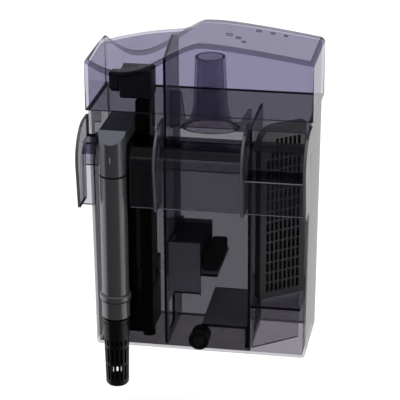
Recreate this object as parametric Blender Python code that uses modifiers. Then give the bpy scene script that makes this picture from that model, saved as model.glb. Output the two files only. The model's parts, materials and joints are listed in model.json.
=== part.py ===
"""Hang on back aquarium filter, in metres, +Z up.

The origin is in the middle of the flat underside that rests on the aquarium's rim. +X is to the right
seen from the aquarium, +Y points away from the aquarium, so the filter box hangs at +Y outside the glass
and the spillway and the intake tube hang at -Y inside it.
"""

import math

import bmesh
import bpy
from mathutils import Matrix, Vector

# Filter box
BODY_WIDTH = 0.180
BODY_DEPTH = 0.070
BODY_DROP = 0.184  # from the rim down to the box's bottom
BODY_RISE = 0.022  # from the rim up to the box's top edge
BODY_TAPER = 0.0025  # each side draws in by this at the bottom
WALL = 0.0022
CORNER = 0.003
GAP = 0.0003  # between pieces that seat on each other
SLIDE_GAP = 0.0006  # between pieces that slide or turn in each other
BITE = 0.0004  # how far joined shapes run into each other

# Hook and spillway
SLOT = 0.013  # space for the aquarium's glass
DECK = 0.0026
LIP_DROP = 0.019
FLANGE_REACH = 0.0405
FLANGE_RADIUS = 0.028
FLANGE_RISE = 0.0195
FLANGE_OVERHANG = 0.0012
SKIRT_DROP = 0.0475
SKIRT_TAPER = 0.005
CHUTE_RADIUS = 0.0158
CHUTE_DROP = 0.0465
TRAY_DROP = 0.019
SPILL_HEIGHT = 0.0125
POST = 0.0022
TUBE_CLEAR = 0.003  # between the intake tube and the chute's cut-out
PUMP_BAY = 0.0615  # from the left side to the middle of the left partition
CHUTE_WIDTH = 0.0692  # between the middles of the partitions

# Lid
LID_OVERHANG = 0.0015
LID_WALL = 0.0026
LID_CREST = 0.0598  # crest above the box's top edge
LID_LEFT_FALL = 0.016
LID_RIGHT_FALL = 0.0107
LID_PEAK = 0.535  # the crest's highest place, from left to right
LID_LEFT_BOW = 2.2
LID_RIGHT_BOW = 1.3
SCOOP_FRONT = 0.0205
SCOOP_BACK = 0.0245
SCOOP_FRONT_SPAN = 0.5  # share of the lid's width
SCOOP_BACK_SPAN = 0.47
SCOOP_LEAN = 0.75
SCOOP_ROUND = 1.35
RIDGE_SHARE = 0.6  # the ridge's place, from front to back
LID_COLUMNS = 28
LID_ROWS = 10
RAIL = 0.0015
RAIL_DROP = 0.004

# Intake
TUBE_RADIUS = 0.0110
TUBE_WALL = 0.0018
TUBE_LEFT = 0.0262  # tube axis from the box's left side
TUBE_SPACE = 0.0008  # between the tube and the hook's lip
ARM_RISE = 0.0160
ARM_HEIGHT = 0.0125
ARM_INTO_BOX = 0.0150
ELBOW_DROP = 0.0230
TUBE_DROP = 0.1240
COLLAR_HEIGHT = 0.0060
COLLAR_RADIUS = TUBE_RADIUS + 0.0015
CUFF_HEIGHT = 0.0140
EXTENSION_LENGTH = 0.0700
STRAINER_LENGTH = 0.0600
STRAINER_TIP_RADIUS = 0.0094
STRAINER_SLOTS = 16
SLOT_WIDTH = 0.0019
STRAINER_ROWS = ((0.30, 0.38), (0.43, 0.64), (0.68, 0.90))  # shares of its length, from the top
STRAINER_SHOULDER = 0.4
RING = 0.0012

# Pump in the left chamber
RISER_LEFT = 0.0130
RISER_WIDTH = 0.0370
RISER_DEPTH = 0.0220
RISER_ROOM = 0.0518  # from the top of its raised side up to the lid's crest
MOTOR_HEIGHT = 0.0420
MOTOR_DEPTH = 0.0360
MOTOR_CLEAR = 0.0090
MOTOR_ROUND = 0.002
FOOT_INSET = 0.007
FOOT_RADIUS = 0.0055
COVER_HEIGHT = 0.0160
ROTOR_RADIUS = 0.0070
ROTOR_LENGTH = 0.0260
SHAFT_RADIUS = 0.0012
IMPELLER_RADIUS = 0.0095
IMPELLER_CLEAR = 0.0012
IMPELLER_BLADES = 5
HUB_RADIUS = 0.0032
BUSH_RADIUS = 0.0030
OUTLET_RADIUS = 0.0040
SCREW_RADIUS = 0.0016
SCREW_HEAD_RADIUS = 0.0030
SCREW_HEAD = 0.0018
SCREW_INSET = 0.0055
CAP_LEFT = 0.0240
CAP_HEIGHT = 0.0240
CAP_DEPTH = 0.0200
CAP_ROUND = 0.0015
CAP_TAB = 0.0120
KNOB_RADIUS = 0.0085
KNOB_WIDTH = 0.0075
VALVE_SHAFT = 0.0020
GLAND_RADIUS = 0.0045
GLAND_CORE = 0.0030
GLAND_INSIDE = 0.0060
GLAND_OUTSIDE = 0.0050
WINDOW_WIDTH = 0.0240  # from the pump to the media
WINDOW_SILL = 0.0080
WINDOW_HEAD = 0.0360

# Media in the middle chamber
CASSETTE_WIDTH = 0.0410
CASSETTE_FRONT_WIDTH = 0.0270
CASSETTE_FLOOR = 0.0660  # above the box's bottom
CASSETTE_SKIRT = 0.0150
CASSETTE_TOP = 0.0950
SHEET = 0.0024
MEDIA_ROUND = 0.0015
CARBON_HEIGHT = 0.0120
GRIP_RADIUS = 0.0124
GRIP_ROOM = 0.0163  # from its tip up to the lid's crest
GRIP_SETBACK = 0.0210
GRIP_SHOULDER = 0.0330
GRIP_FOOT = 0.0230
GRIP_DRAFT = 0.0010
GRIP_SQUEEZE = 0.72
FIN_WIDTH = 0.0095
FIN_SLOPE = 0.0030
FIN_LEFT = 0.0240
FIN_RIGHT = 0.0120
BAFFLE_LEFT = 0.0300
BAFFLE_FRONT = 0.0244
BAFFLE_BACK = 0.0290

# Cartridge in the right chamber
REST_HEIGHT = 0.0440
REST_WALL_SHARE = 0.86  # of the chamber's width
PORT_EDGE = 0.006
PORT_DEPTH = 0.016
TRANSFER_FRONT = 0.020
TRANSFER_SILL = 0.006
TRANSFER_HEAD = 0.032
FRAME_ANGLE = math.radians(38)
FRAME_LEFT = 0.0065
FRAME_FRONT = 0.0115
FRAME_LENGTH = 0.0420
FRAME_TOP = 0.1930  # above the box's bottom
FRAME_SHEET = 0.0030
FRAME_BORDER = 0.0055
FRAME_ARCH = 0.0140
GRID_COLUMNS = 8
GRID_ROWS = 15
GRID_BAR = 0.0013
PAD_DEPTH = 0.0050

# Levelling screw
LEVEL_HEIGHT = 0.0118  # axis above the box's bottom
LEVEL_RADIUS = 0.0082
LEVEL_HEAD = 0.0050
LEVEL_RECESS = 0.62  # share of the head's radius
LEVEL_SOCKET = 0.0085
SOCKET_LIP = 0.0008
LEVEL_STEM = 0.0030
LEVEL_PAD = 0.0020

# Places that follow from the sizes
LEFT = -BODY_WIDTH / 2
RIGHT = BODY_WIDTH / 2
FRONT = SLOT / 2
BACK = FRONT + BODY_DEPTH
BOTTOM = -BODY_DROP
TOP = BODY_RISE
FLOOR = BOTTOM + WALL
INNER_FRONT = FRONT + WALL
INNER_BACK = BACK - WALL
LEFT_PARTITION = LEFT + PUMP_BAY
RIGHT_PARTITION = LEFT_PARTITION + CHUTE_WIDTH
TUBE_X = LEFT + TUBE_LEFT
TUBE_Y = -SLOT / 2 - WALL - TUBE_SPACE - TUBE_RADIUS
ARM_TOP = ARM_RISE
ARM_BOTTOM = ARM_RISE - ARM_HEIGHT
LID_BOTTOM = TOP + GAP
CREST = TOP + LID_CREST
RISER_HEAD = CREST - RISER_ROOM
GRIP_TIP = CREST - GRIP_ROOM
RISER_X0 = LEFT + RISER_LEFT
RISER_X1 = RISER_X0 + RISER_WIDTH
RISER_Y0 = INNER_FRONT + WALL + 2 * GAP
RISER_Y1 = RISER_Y0 + RISER_DEPTH
MOTOR_BOTTOM = BOTTOM + MOTOR_CLEAR + WALL
MOTOR_TOP = MOTOR_BOTTOM + MOTOR_HEIGHT
COVER_TOP = MOTOR_TOP + GAP + COVER_HEIGHT
PUMP_X = (RISER_X0 + RISER_X1) / 2
PUMP_Y = RISER_Y0 + MOTOR_DEPTH / 2
GLAND_Z = MOTOR_BOTTOM + MOTOR_HEIGHT / 2
LEVEL_Z = BOTTOM + LEVEL_HEIGHT
CASSETTE_X = LEFT_PARTITION + WALL / 2 + SLIDE_GAP
CASSETTE_Y0 = INNER_FRONT + WALL + SLIDE_GAP
CASSETTE_Y1 = INNER_BACK - SLIDE_GAP - CORNER
ELBOW_END = ARM_BOTTOM - ELBOW_DROP
TUBE_TOP = ELBOW_END - RING - 2 * GAP
TUBE_END = TUBE_TOP - TUBE_DROP + COLLAR_HEIGHT + CUFF_HEIGHT
COLLAR_TOP = TUBE_END + COLLAR_HEIGHT / 2
CUFF_TOP = COLLAR_TOP - COLLAR_HEIGHT - SLIDE_GAP
CUFF_END = CUFF_TOP - CUFF_HEIGHT
EXTENSION_RADIUS = TUBE_RADIUS - TUBE_WALL - SLIDE_GAP
STRAINER_TOP = CUFF_END - RING - 2 * GAP

SMOKE = (0.36, 0.33, 0.42)
BLACK = (0.012, 0.012, 0.014)

scene_parts = None
scene_cutters = None


# --- Modelling helpers


def clear_scene():
    for old in list(bpy.data.objects):
        bpy.data.objects.remove(old, do_unlink=True)


def new_collection(name):
    made = bpy.data.collections.new(name)
    bpy.context.scene.collection.children.link(made)
    return made


def material(name, colour, roughness=0.4, metallic=0.0, alpha=1.0):
    made = bpy.data.materials.new(name)
    made.use_nodes = True
    shader = made.node_tree.nodes["Principled BSDF"]
    shader.inputs["Base Color"].default_value = (*colour, 1.0)
    shader.inputs["Roughness"].default_value = roughness
    shader.inputs["Metallic"].default_value = metallic
    shader.inputs["Alpha"].default_value = alpha
    made.diffuse_color = (*colour, alpha)
    return made


def mesh_object(name, shape):
    """An object from a bmesh, kept out of the model until finish() takes it."""
    bmesh.ops.recalc_face_normals(shape, faces=shape.faces)
    mesh = bpy.data.meshes.new(name)
    shape.to_mesh(mesh)
    shape.free()
    made = bpy.data.objects.new(name, mesh)
    scene_cutters.objects.link(made)
    made.hide_render = True
    made.display_type = "WIRE"
    return made


def block(low, high, name="block"):
    """A box between two corners."""
    low = Vector(low)
    high = Vector(high)
    shape = bmesh.new()
    bmesh.ops.create_cube(shape, size=1.0)
    bmesh.ops.scale(shape, vec=high - low, verts=shape.verts)
    bmesh.ops.translate(shape, vec=(low + high) / 2, verts=shape.verts)
    return mesh_object(name, shape)


def rod(start, end, radius, end_radius=None, sides=32, name="rod"):
    """A cylinder or a cone from start to end."""
    start = Vector(start)
    run = Vector(end) - start
    shape = bmesh.new()
    bmesh.ops.create_cone(
        shape,
        cap_ends=True,
        segments=sides,
        radius1=radius,
        radius2=radius if end_radius is None else end_radius,
        depth=run.length,
    )
    turn = run.to_track_quat("Z", "Y").to_matrix().to_4x4()
    bmesh.ops.transform(shape, matrix=Matrix.Translation(start + run / 2) @ turn, verts=shape.verts)
    return mesh_object(name, shape)


def arc(centre, radius, start, end, steps=8):
    """Points of an arc, with its angles in degrees."""
    angles = [math.radians(start + (end - start) * i / steps) for i in range(steps + 1)]
    return [(centre[0] + radius * math.cos(a), centre[1] + radius * math.sin(a)) for a in angles]


def plate(outlines, axis, low, high, name="plate"):
    """Closed outlines in the plane across an axis, filled and given thickness along it. An outline inside
    another is a hole. Points are (y, z) for axis X, (x, z) for axis Y and (x, y) for axis Z."""
    curve = bpy.data.curves.new(name, "CURVE")
    curve.dimensions = "2D"
    curve.fill_mode = "BOTH"
    curve.extrude = (high - low) / 2
    for outline in outlines:
        spline = curve.splines.new("POLY")
        spline.points.add(len(outline) - 1)
        for point, (a, b) in zip(spline.points, outline):
            point.co = (a, b, 0, 1)
        spline.use_cyclic_u = True
    guide = bpy.data.objects.new(name, curve)
    scene_cutters.objects.link(guide)
    bpy.context.view_layer.update()
    flat = bpy.data.meshes.new_from_object(guide.evaluated_get(bpy.context.evaluated_depsgraph_get()))
    bpy.data.objects.remove(guide, do_unlink=True)
    shape = bmesh.new()
    shape.from_mesh(flat)
    bpy.data.meshes.remove(flat)
    bmesh.ops.remove_doubles(shape, verts=shape.verts, dist=1e-6)
    middle = (low + high) / 2
    place = {
        "X": Matrix(((0, 0, 1, middle), (1, 0, 0, 0), (0, 1, 0, 0), (0, 0, 0, 1))),
        "Y": Matrix(((1, 0, 0, 0), (0, 0, -1, middle), (0, 1, 0, 0), (0, 0, 0, 1))),
        "Z": Matrix.Translation((0, 0, middle)),
    }[axis]
    bmesh.ops.transform(shape, matrix=place, verts=shape.verts)
    return mesh_object(name, shape)


def turned(profile, place, steps=32, name="turned"):
    """A closed (radius, z) profile turned about a vertical axis through place, which it may touch."""
    shape = bmesh.new()
    points = [shape.verts.new((radius, 0, z)) for radius, z in profile]
    for first, second in zip(points, points[1:] + points[:1]):
        if first.co.x > 0 or second.co.x > 0:
            shape.edges.new((first, second))
    mesh = bpy.data.meshes.new(name)
    shape.to_mesh(mesh)
    shape.free()
    made = bpy.data.objects.new(name, mesh)
    scene_cutters.objects.link(made)
    screw = made.modifiers.new("Turn", "SCREW")
    screw.steps = steps
    screw.render_steps = steps
    screw.use_merge_vertices = True
    screw.merge_threshold = 1e-5
    bpy.context.view_layer.update()
    solid = bpy.data.meshes.new_from_object(made.evaluated_get(bpy.context.evaluated_depsgraph_get()))
    bpy.data.objects.remove(made, do_unlink=True)
    shape = bmesh.new()
    shape.from_mesh(solid)
    bpy.data.meshes.remove(solid)
    bmesh.ops.remove_doubles(shape, verts=shape.verts, dist=1e-6)
    bmesh.ops.translate(shape, vec=Vector(place), verts=shape.verts)
    return mesh_object(name, shape)


def tube(start_z, end_z, outer, inner, place, steps=32):
    """A straight vertical pipe."""
    profile = [(inner, end_z), (outer, end_z), (outer, start_z), (inner, start_z)]
    return turned(profile, (place[0], place[1], 0), steps)


def boolean(target, other, operation):
    step = target.modifiers.new(operation.title(), "BOOLEAN")
    step.operation = operation
    step.solver = "EXACT"
    step.object = other


def join(target, *others):
    for other in others:
        boolean(target, other, "UNION")
    return target


def cut(target, *others):
    for other in others:
        boolean(target, other, "DIFFERENCE")
    return target


def soften(target, width, segments=2, angle=50):
    """Rounds the edges sharper than an angle."""
    bevel = target.modifiers.new("Round", "BEVEL")
    bevel.width = width
    bevel.segments = segments
    bevel.limit_method = "ANGLE"
    bevel.angle_limit = math.radians(angle)
    return target


def finish(made, name, look, pivot=(0, 0, 0)):
    """Takes a shape into the model as a named part with its origin at pivot."""
    made.name = name
    made.data.name = name
    made.data.transform(Matrix.Translation(-Vector(pivot)))
    made.location = pivot
    made.data.materials.clear()
    made.data.materials.append(look)
    made.data.shade_smooth()
    made.data.set_sharp_from_angle(angle=math.radians(35))
    made.hide_render = False
    made.display_type = "TEXTURED"
    scene_cutters.objects.unlink(made)
    scene_parts.objects.link(made)
    return made


# --- Filter box


def taper_share(z):
    """How much of the draft is left at a height: 0 at the top edge, 1 at the bottom."""
    return (TOP - z) / (TOP - BOTTOM)


def make_body(look):
    shape = bmesh.new()
    bmesh.ops.create_cube(shape, size=1.0)
    bmesh.ops.scale(shape, vec=(BODY_WIDTH, BODY_DEPTH, TOP - BOTTOM), verts=shape.verts)
    bmesh.ops.translate(shape, vec=(0, (FRONT + BACK) / 2, (TOP + BOTTOM) / 2), verts=shape.verts)
    lid_side = [face for face in shape.faces if face.normal.z > 0.5]
    bmesh.ops.delete(shape, geom=lid_side, context="FACES_ONLY")
    for vert in shape.verts:
        vert.co.x -= math.copysign(BODY_TAPER * taper_share(vert.co.z), vert.co.x)
    edges = [edge for edge in shape.edges if len(edge.link_faces) == 2]
    bmesh.ops.bevel(shape, geom=edges, offset=CORNER, segments=3, profile=0.5, affect="EDGES")
    body = mesh_object("filter_body", shape)
    shell = body.modifiers.new("Shell", "SOLIDIFY")
    shell.thickness = WALL
    shell.offset = -1
    shell.use_even_offset = True

    low, high = FRONT - WALL, INNER_FRONT + CORNER
    beam = SPILL_HEIGHT
    side = WALL + CORNER
    bays = (
        (LEFT + side, LEFT_PARTITION - POST),
        (LEFT_PARTITION + POST, RIGHT_PARTITION - POST),
        (RIGHT_PARTITION + POST, RIGHT - side),
    )
    for x0, x1 in bays:
        cut(body, block((x0, low, -GAP), (x1, high, beam), "spill_cutter"))
    notch = TUBE_RADIUS + 2 * WALL
    cut(body, block((TUBE_X - notch, low, 0), (LEFT_PARTITION - 4 * WALL, high, TOP + WALL), "notch_cutter"))
    cut(body, rod((0, low, LEVEL_Z), (0, high, LEVEL_Z), LEVEL_RADIUS + GAP, name="level_cutter"))
    gland_start = (PUMP_X, INNER_BACK - CORNER, GLAND_Z)
    gland_end = (PUMP_X, BACK + WALL, GLAND_Z)
    cut(body, rod(gland_start, gland_end, GLAND_RADIUS + GAP, sides=20, name="gland_cutter"))
    ledge_x = (CASSETTE_X + 2 * SHEET, CASSETTE_X + CASSETTE_FRONT_WIDTH)
    front_z = BOTTOM + CASSETTE_FLOOR - CASSETTE_SKIRT - GAP
    back_z = BOTTOM + CASSETTE_FLOOR - GAP
    front_ledge = block(
        (ledge_x[0], INNER_FRONT - BITE, front_z - WALL),
        (ledge_x[1], CASSETTE_Y0 + SHEET, front_z),
        "front_ledge",
    )
    back_ledge = block(
        (ledge_x[0], CASSETTE_Y1 - SHEET, back_z - WALL),
        (ledge_x[1], INNER_BACK + BITE, back_z),
        "back_ledge",
    )
    join(body, front_ledge, back_ledge)
    return finish(body, "filter_body", look)


# --- Hook and spillway


def flange_outline():
    """Side view of a flange: flat top, quarter round, a front that draws in, and the step over the glass."""
    top = FLANGE_RISE
    round_y = FRONT - FLANGE_REACH + FLANGE_RADIUS
    round_z = top - FLANGE_RADIUS
    skirt_y = FRONT - FLANGE_REACH + SKIRT_TAPER
    return (
        [(FRONT - GAP, top)]
        + arc((round_y, round_z), FLANGE_RADIUS, 90, 180, 10)
        + [(skirt_y, -SKIRT_DROP), (-SLOT / 2, -SKIRT_DROP), (-SLOT / 2, 0), (FRONT - GAP, 0)]
    )


def chute_outline():
    """Side view of the curved sheet that the water runs down, joined to the deck's front edge."""
    start_y = -SLOT / 2 - WALL
    centre = (start_y, DECK - CHUTE_RADIUS)
    front_y = start_y - CHUTE_RADIUS
    inner = CHUTE_RADIUS - WALL
    return (
        [(start_y + BITE, DECK)]
        + arc(centre, CHUTE_RADIUS, 90, 180, 8)
        + [(front_y, -CHUTE_DROP), (front_y + WALL, -CHUTE_DROP)]
        + arc(centre, inner, 180, 90, 8)
        + [(start_y + BITE, DECK - WALL)]
    )


def tray_outline():
    """Side view of the right bay: front panel and sloping floor."""
    front_y = -SLOT / 2 - WALL - CHUTE_RADIUS
    lip_y = -SLOT / 2 - WALL + BITE
    rise = TRAY_DROP * 0.2
    return [
        (front_y, -TRAY_DROP),
        (front_y, -CHUTE_DROP),
        (front_y + WALL, -CHUTE_DROP),
        (front_y + WALL, -TRAY_DROP - WALL),
        (lip_y, -TRAY_DROP - WALL + rise),
        (lip_y, -TRAY_DROP + rise + WALL / 2),
        (front_y + WALL, -TRAY_DROP - WALL / 2),
        (front_y + WALL, -TRAY_DROP),
    ]


def make_hook(look):
    outer_left = LEFT - FLANGE_OVERHANG
    outer_right = RIGHT + FLANGE_OVERHANG
    sheet = 2 * FLANGE_OVERHANG
    hook = block((outer_left + BITE, -SLOT / 2 - WALL, 0), (outer_right - BITE, FRONT - GAP, DECK))
    lip = block(
        (outer_left + BITE, -SLOT / 2 - WALL, -LIP_DROP),
        (outer_right - BITE, -SLOT / 2, DECK / 2),
        "lip",
    )
    join(hook, lip)
    for x0 in (
        outer_left,
        LEFT_PARTITION - WALL / 2,
        RIGHT_PARTITION - WALL / 2,
        outer_right - sheet,
    ):
        join(hook, plate([flange_outline()], "X", x0, x0 + sheet, "flange"))
    u_cut = TUBE_RADIUS + TUBE_CLEAR
    sheets = (
        (outer_left + sheet - BITE, TUBE_X - u_cut, chute_outline()),
        (TUBE_X + u_cut, LEFT_PARTITION - WALL / 2 + BITE, chute_outline()),
        (LEFT_PARTITION + WALL / 2, RIGHT_PARTITION, chute_outline()),
        (RIGHT_PARTITION + WALL / 2, outer_right - sheet + BITE, tray_outline()),
    )
    for x0, x1, outline in sheets:
        join(hook, plate([outline], "X", x0, x1, "bay_sheet"))
    side = WALL + CORNER + GAP
    post = POST + GAP
    tongue = INNER_FRONT + GAP + WALL
    for x0, x1 in (
        (LEFT + side, LEFT_PARTITION - post),
        (LEFT_PARTITION + post, RIGHT_PARTITION - post),
        (RIGHT_PARTITION + post, RIGHT - side),
    ):
        over_wall = [
            (FRONT - WALL, 0),
            (FRONT - WALL, DECK),
            (tongue, DECK),
            (tongue, -2 * DECK),
            (tongue - WALL, -2 * DECK),
            (tongue - WALL, 0),
        ]
        join(hook, plate([over_wall], "X", x0, x1, "tongue"))
    return finish(hook, "hook_spillway", look)


# --- Lid


def lid_height(x, y):
    """The lid's outer surface: an arched crest line, with a scoop in front of the ridge and one behind it."""
    half = BODY_WIDTH / 2 + LID_OVERHANG
    along = (x + half) / (2 * half)
    across = (y - (FRONT - LID_OVERHANG)) / (BODY_DEPTH + 2 * LID_OVERHANG)
    if along < LID_PEAK:
        crest = CREST - LID_LEFT_FALL * (1 - along / LID_PEAK) ** LID_LEFT_BOW
    else:
        crest = CREST - LID_RIGHT_FALL * ((along - LID_PEAK) / (1 - LID_PEAK)) ** LID_RIGHT_BOW
    if across < RIDGE_SHARE:
        depth, span, away = SCOOP_FRONT, SCOOP_FRONT_SPAN, 1 - across / RIDGE_SHARE
    else:
        depth, span, away = SCOOP_BACK, SCOOP_BACK_SPAN, (across - RIDGE_SHARE) / (1 - RIDGE_SHARE)
    reach = min(1.0, (along / span) ** SCOOP_LEAN)
    scoop = max(0.0, math.sin(math.pi * reach)) ** SCOOP_ROUND
    return crest - depth * scoop * away


def lid_surface(name, inset, drop, bottom):
    """A solid under the lid's surface, drawn in by inset and down by drop: its outside or its hollow."""
    half = BODY_WIDTH / 2 + LID_OVERHANG - inset
    depth = BODY_DEPTH + 2 * LID_OVERHANG - 2 * inset
    shape = bmesh.new()
    bmesh.ops.create_grid(shape, x_segments=LID_COLUMNS, y_segments=LID_ROWS, size=0.5)
    bmesh.ops.scale(shape, vec=(2 * half, depth, 1), verts=shape.verts)
    bmesh.ops.translate(shape, vec=(0, (FRONT + BACK) / 2, 0), verts=shape.verts)
    rim = [edge for edge in shape.edges if len(edge.link_faces) == 1]
    for vert in shape.verts:
        vert.co.z = lid_height(vert.co.x, vert.co.y) - drop
    skirt = bmesh.ops.extrude_edge_only(shape, edges=rim)["geom"]
    for vert in skirt:
        if isinstance(vert, bmesh.types.BMVert):
            vert.co.z = bottom
    edges = [edge for edge in shape.edges if len(edge.link_faces) == 1]
    bmesh.ops.contextual_create(shape, geom=edges)
    bmesh.ops.triangulate(shape, faces=shape.faces)
    return mesh_object(name, shape)


def make_lid(look):
    lid = lid_surface("lid", 0, 0, LID_BOTTOM)
    cut(lid, lid_surface("lid_hollow", LID_WALL, LID_WALL, LID_BOTTOM - WALL))
    for side in (-1, 1):
        inner = BODY_WIDTH / 2 - WALL - CORNER / 2
        wall = BODY_WIDTH / 2 + LID_OVERHANG - LID_WALL + BITE
        ends = (FRONT + 4 * WALL, BACK - 4 * WALL)
        xs = sorted((side * (inner - RAIL), side * wall))
        step = block((xs[0], ends[0], LID_BOTTOM + BITE), (xs[1], ends[1], LID_BOTTOM + RAIL_DROP), "step")
        xs = sorted((side * (inner - RAIL), side * inner))
        rail_low = (xs[0], ends[0] + BITE, TOP - RAIL_DROP)
        rail = block(rail_low, (xs[1], ends[1] - BITE, TOP + RAIL_DROP / 2), "rail")
        join(lid, step, rail)
    return finish(lid, "lid", look)


# --- Partitions


def make_left_partition(look):
    """The tall plate beside the pump: it follows the underside of the lid."""
    x = LEFT_PARTITION
    clear = LID_WALL + 4 * BITE
    y0 = INNER_FRONT + GAP
    y1 = INNER_BACK - GAP
    upper = y0 + 2 * WALL
    steps = 6
    crown = [upper + (y1 - 2 * WALL - upper) * i / steps for i in range(steps + 1)]
    outline = [(y0 + CORNER, FLOOR + GAP), (y1 - CORNER, FLOOR + GAP), (y1, FLOOR + GAP + CORNER), (y1, TOP)]
    outline += [(crown[-1], TOP)]
    outline += [(y, lid_height(x, y) - clear) for y in reversed(crown)]
    outline += [(upper, -3 * DECK), (y0 + WALL, -3 * DECK), (y0, -4 * DECK), (y0, FLOOR + GAP + CORNER)]
    wall = plate([outline], "X", x - WALL / 2, x + WALL / 2, "left_partition")
    window = block(
        (x - WALL, PUMP_Y - WINDOW_WIDTH / 2, FLOOR + WINDOW_SILL),
        (x + WALL, PUMP_Y + WINDOW_WIDTH / 2, FLOOR + WINDOW_HEAD),
        "flow_window",
    )
    cut(wall, window)
    return finish(wall, "left_partition", look)


def make_right_partition(look):
    x = RIGHT_PARTITION
    y0 = INNER_FRONT + GAP
    y1 = INNER_BACK - GAP
    behind_tongue = y0 + 2 * WALL
    top = SPILL_HEIGHT
    outline = [
        (y0 + CORNER, FLOOR + GAP),
        (y1 - CORNER, FLOOR + GAP),
        (y1, FLOOR + GAP + CORNER),
        (y1, top),
        (behind_tongue, top),
        (behind_tongue, -3 * DECK),
        (y0, -4 * DECK),
        (y0, FLOOR + GAP + CORNER),
    ]
    slot = rectangle(y0 + TRANSFER_FRONT, y1 - 2 * CORNER, FLOOR + TRANSFER_SILL, FLOOR + TRANSFER_HEAD)
    return finish(plate([outline, slot], "X", x - WALL / 2, x + WALL / 2), "right_partition", look)


def rectangle(a0, a1, b0, b1):
    return [(a0, b0), (a1, b0), (a1, b1), (a0, b1)]


# --- Intake


def make_elbow(look):
    """Vertical socket with a sloping cut at its top, and the flat arm that crosses the rim."""
    stem = rod((TUBE_X, TUBE_Y, ELBOW_END), (TUBE_X, TUBE_Y, ARM_TOP), TUBE_RADIUS, sides=40)
    arm_end = RISER_Y0 + ARM_INTO_BOX
    half = TUBE_RADIUS - BITE
    arm = block((TUBE_X - half, TUBE_Y, ARM_BOTTOM), (TUBE_X + half, arm_end, ARM_TOP), "arm")
    spout = block(
        (TUBE_X - TUBE_RADIUS + 2 * WALL, RISER_Y0 + 2 * WALL, -2 * DECK),
        (TUBE_X + TUBE_RADIUS - 2 * WALL, arm_end - BITE, ARM_BOTTOM + DECK),
        "spout",
    )
    join(stem, arm, spout)
    slope = [
        (TUBE_Y + BITE, ARM_TOP + BITE),
        (TUBE_Y - 3 * TUBE_RADIUS, ARM_TOP + BITE),
        (TUBE_Y - 3 * TUBE_RADIUS, ARM_TOP - 2.4 * TUBE_RADIUS),
    ]
    cut(stem, plate([slope], "X", TUBE_X - 2 * TUBE_RADIUS, TUBE_X + 2 * TUBE_RADIUS, "slope"))
    bore = TUBE_RADIUS - TUBE_WALL
    cut(stem, rod((TUBE_X, TUBE_Y, ELBOW_END - WALL), (TUBE_X, TUBE_Y, ARM_BOTTOM + DECK), bore, name="bore"))
    channel = block(
        (TUBE_X - half + TUBE_WALL, TUBE_Y, ARM_BOTTOM + TUBE_WALL),
        (TUBE_X + half - TUBE_WALL, arm_end - TUBE_WALL, ARM_TOP - TUBE_WALL),
        "channel",
    )
    down = block(
        (TUBE_X - TUBE_RADIUS + 3 * WALL, RISER_Y0 + 3 * WALL, -4 * DECK),
        (TUBE_X + TUBE_RADIUS - 3 * WALL, arm_end - 2 * WALL, ARM_BOTTOM + 2 * TUBE_WALL),
        "down",
    )
    cut(stem, channel, down)
    return finish(stem, "intake_elbow", look)


def make_intake(tube_look, black, rubber):
    place = (TUBE_X, TUBE_Y)
    seal = tube(TUBE_TOP + GAP, ELBOW_END - GAP, TUBE_RADIUS - RING / 3, TUBE_RADIUS - TUBE_WALL, place)
    finish(seal, "elbow_seal", rubber)
    shaft = tube(TUBE_END, TUBE_TOP, TUBE_RADIUS, TUBE_RADIUS - TUBE_WALL, place)
    finish(shaft, "intake_tube", tube_look)
    collar = turned(
        [
            (TUBE_RADIUS + GAP, COLLAR_TOP),
            (COLLAR_RADIUS - RING, COLLAR_TOP),
            (COLLAR_RADIUS, COLLAR_TOP - RING),
            (COLLAR_RADIUS, COLLAR_TOP - COLLAR_HEIGHT + RING),
            (COLLAR_RADIUS - RING, COLLAR_TOP - COLLAR_HEIGHT),
            (EXTENSION_RADIUS + SLIDE_GAP, COLLAR_TOP - COLLAR_HEIGHT),
            (EXTENSION_RADIUS + SLIDE_GAP, TUBE_END - GAP),
            (TUBE_RADIUS + GAP, TUBE_END - GAP),
        ],
        (*place, 0),
    )
    finish(collar, "tube_collar", tube_look)
    inner = EXTENSION_RADIUS - TUBE_WALL
    cuff = TUBE_RADIUS + GAP
    groove = EXTENSION_RADIUS - RING
    extension = turned(
        [
            (inner, CUFF_TOP + EXTENSION_LENGTH),
            (EXTENSION_RADIUS, CUFF_TOP + EXTENSION_LENGTH),
            (EXTENSION_RADIUS, CUFF_TOP + EXTENSION_LENGTH - RING),
            (groove, CUFF_TOP + EXTENSION_LENGTH - RING),
            (groove, CUFF_TOP + EXTENSION_LENGTH - 3 * RING),
            (EXTENSION_RADIUS, CUFF_TOP + EXTENSION_LENGTH - 3 * RING),
            (EXTENSION_RADIUS, CUFF_TOP),
            (cuff, CUFF_TOP),
            (cuff, CUFF_END),
            (inner, CUFF_END),
        ],
        (*place, 0),
    )
    finish(extension, "extension_tube", tube_look, (*place, CUFF_TOP))
    seal_top = CUFF_TOP + EXTENSION_LENGTH - RING - GAP
    ring = tube(seal_top - 2 * RING + 2 * GAP, seal_top, EXTENSION_RADIUS + GAP, groove + GAP, place)
    finish(ring, "extension_seal", rubber, (*place, CUFF_TOP))
    make_strainer(black, place, inner)


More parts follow.
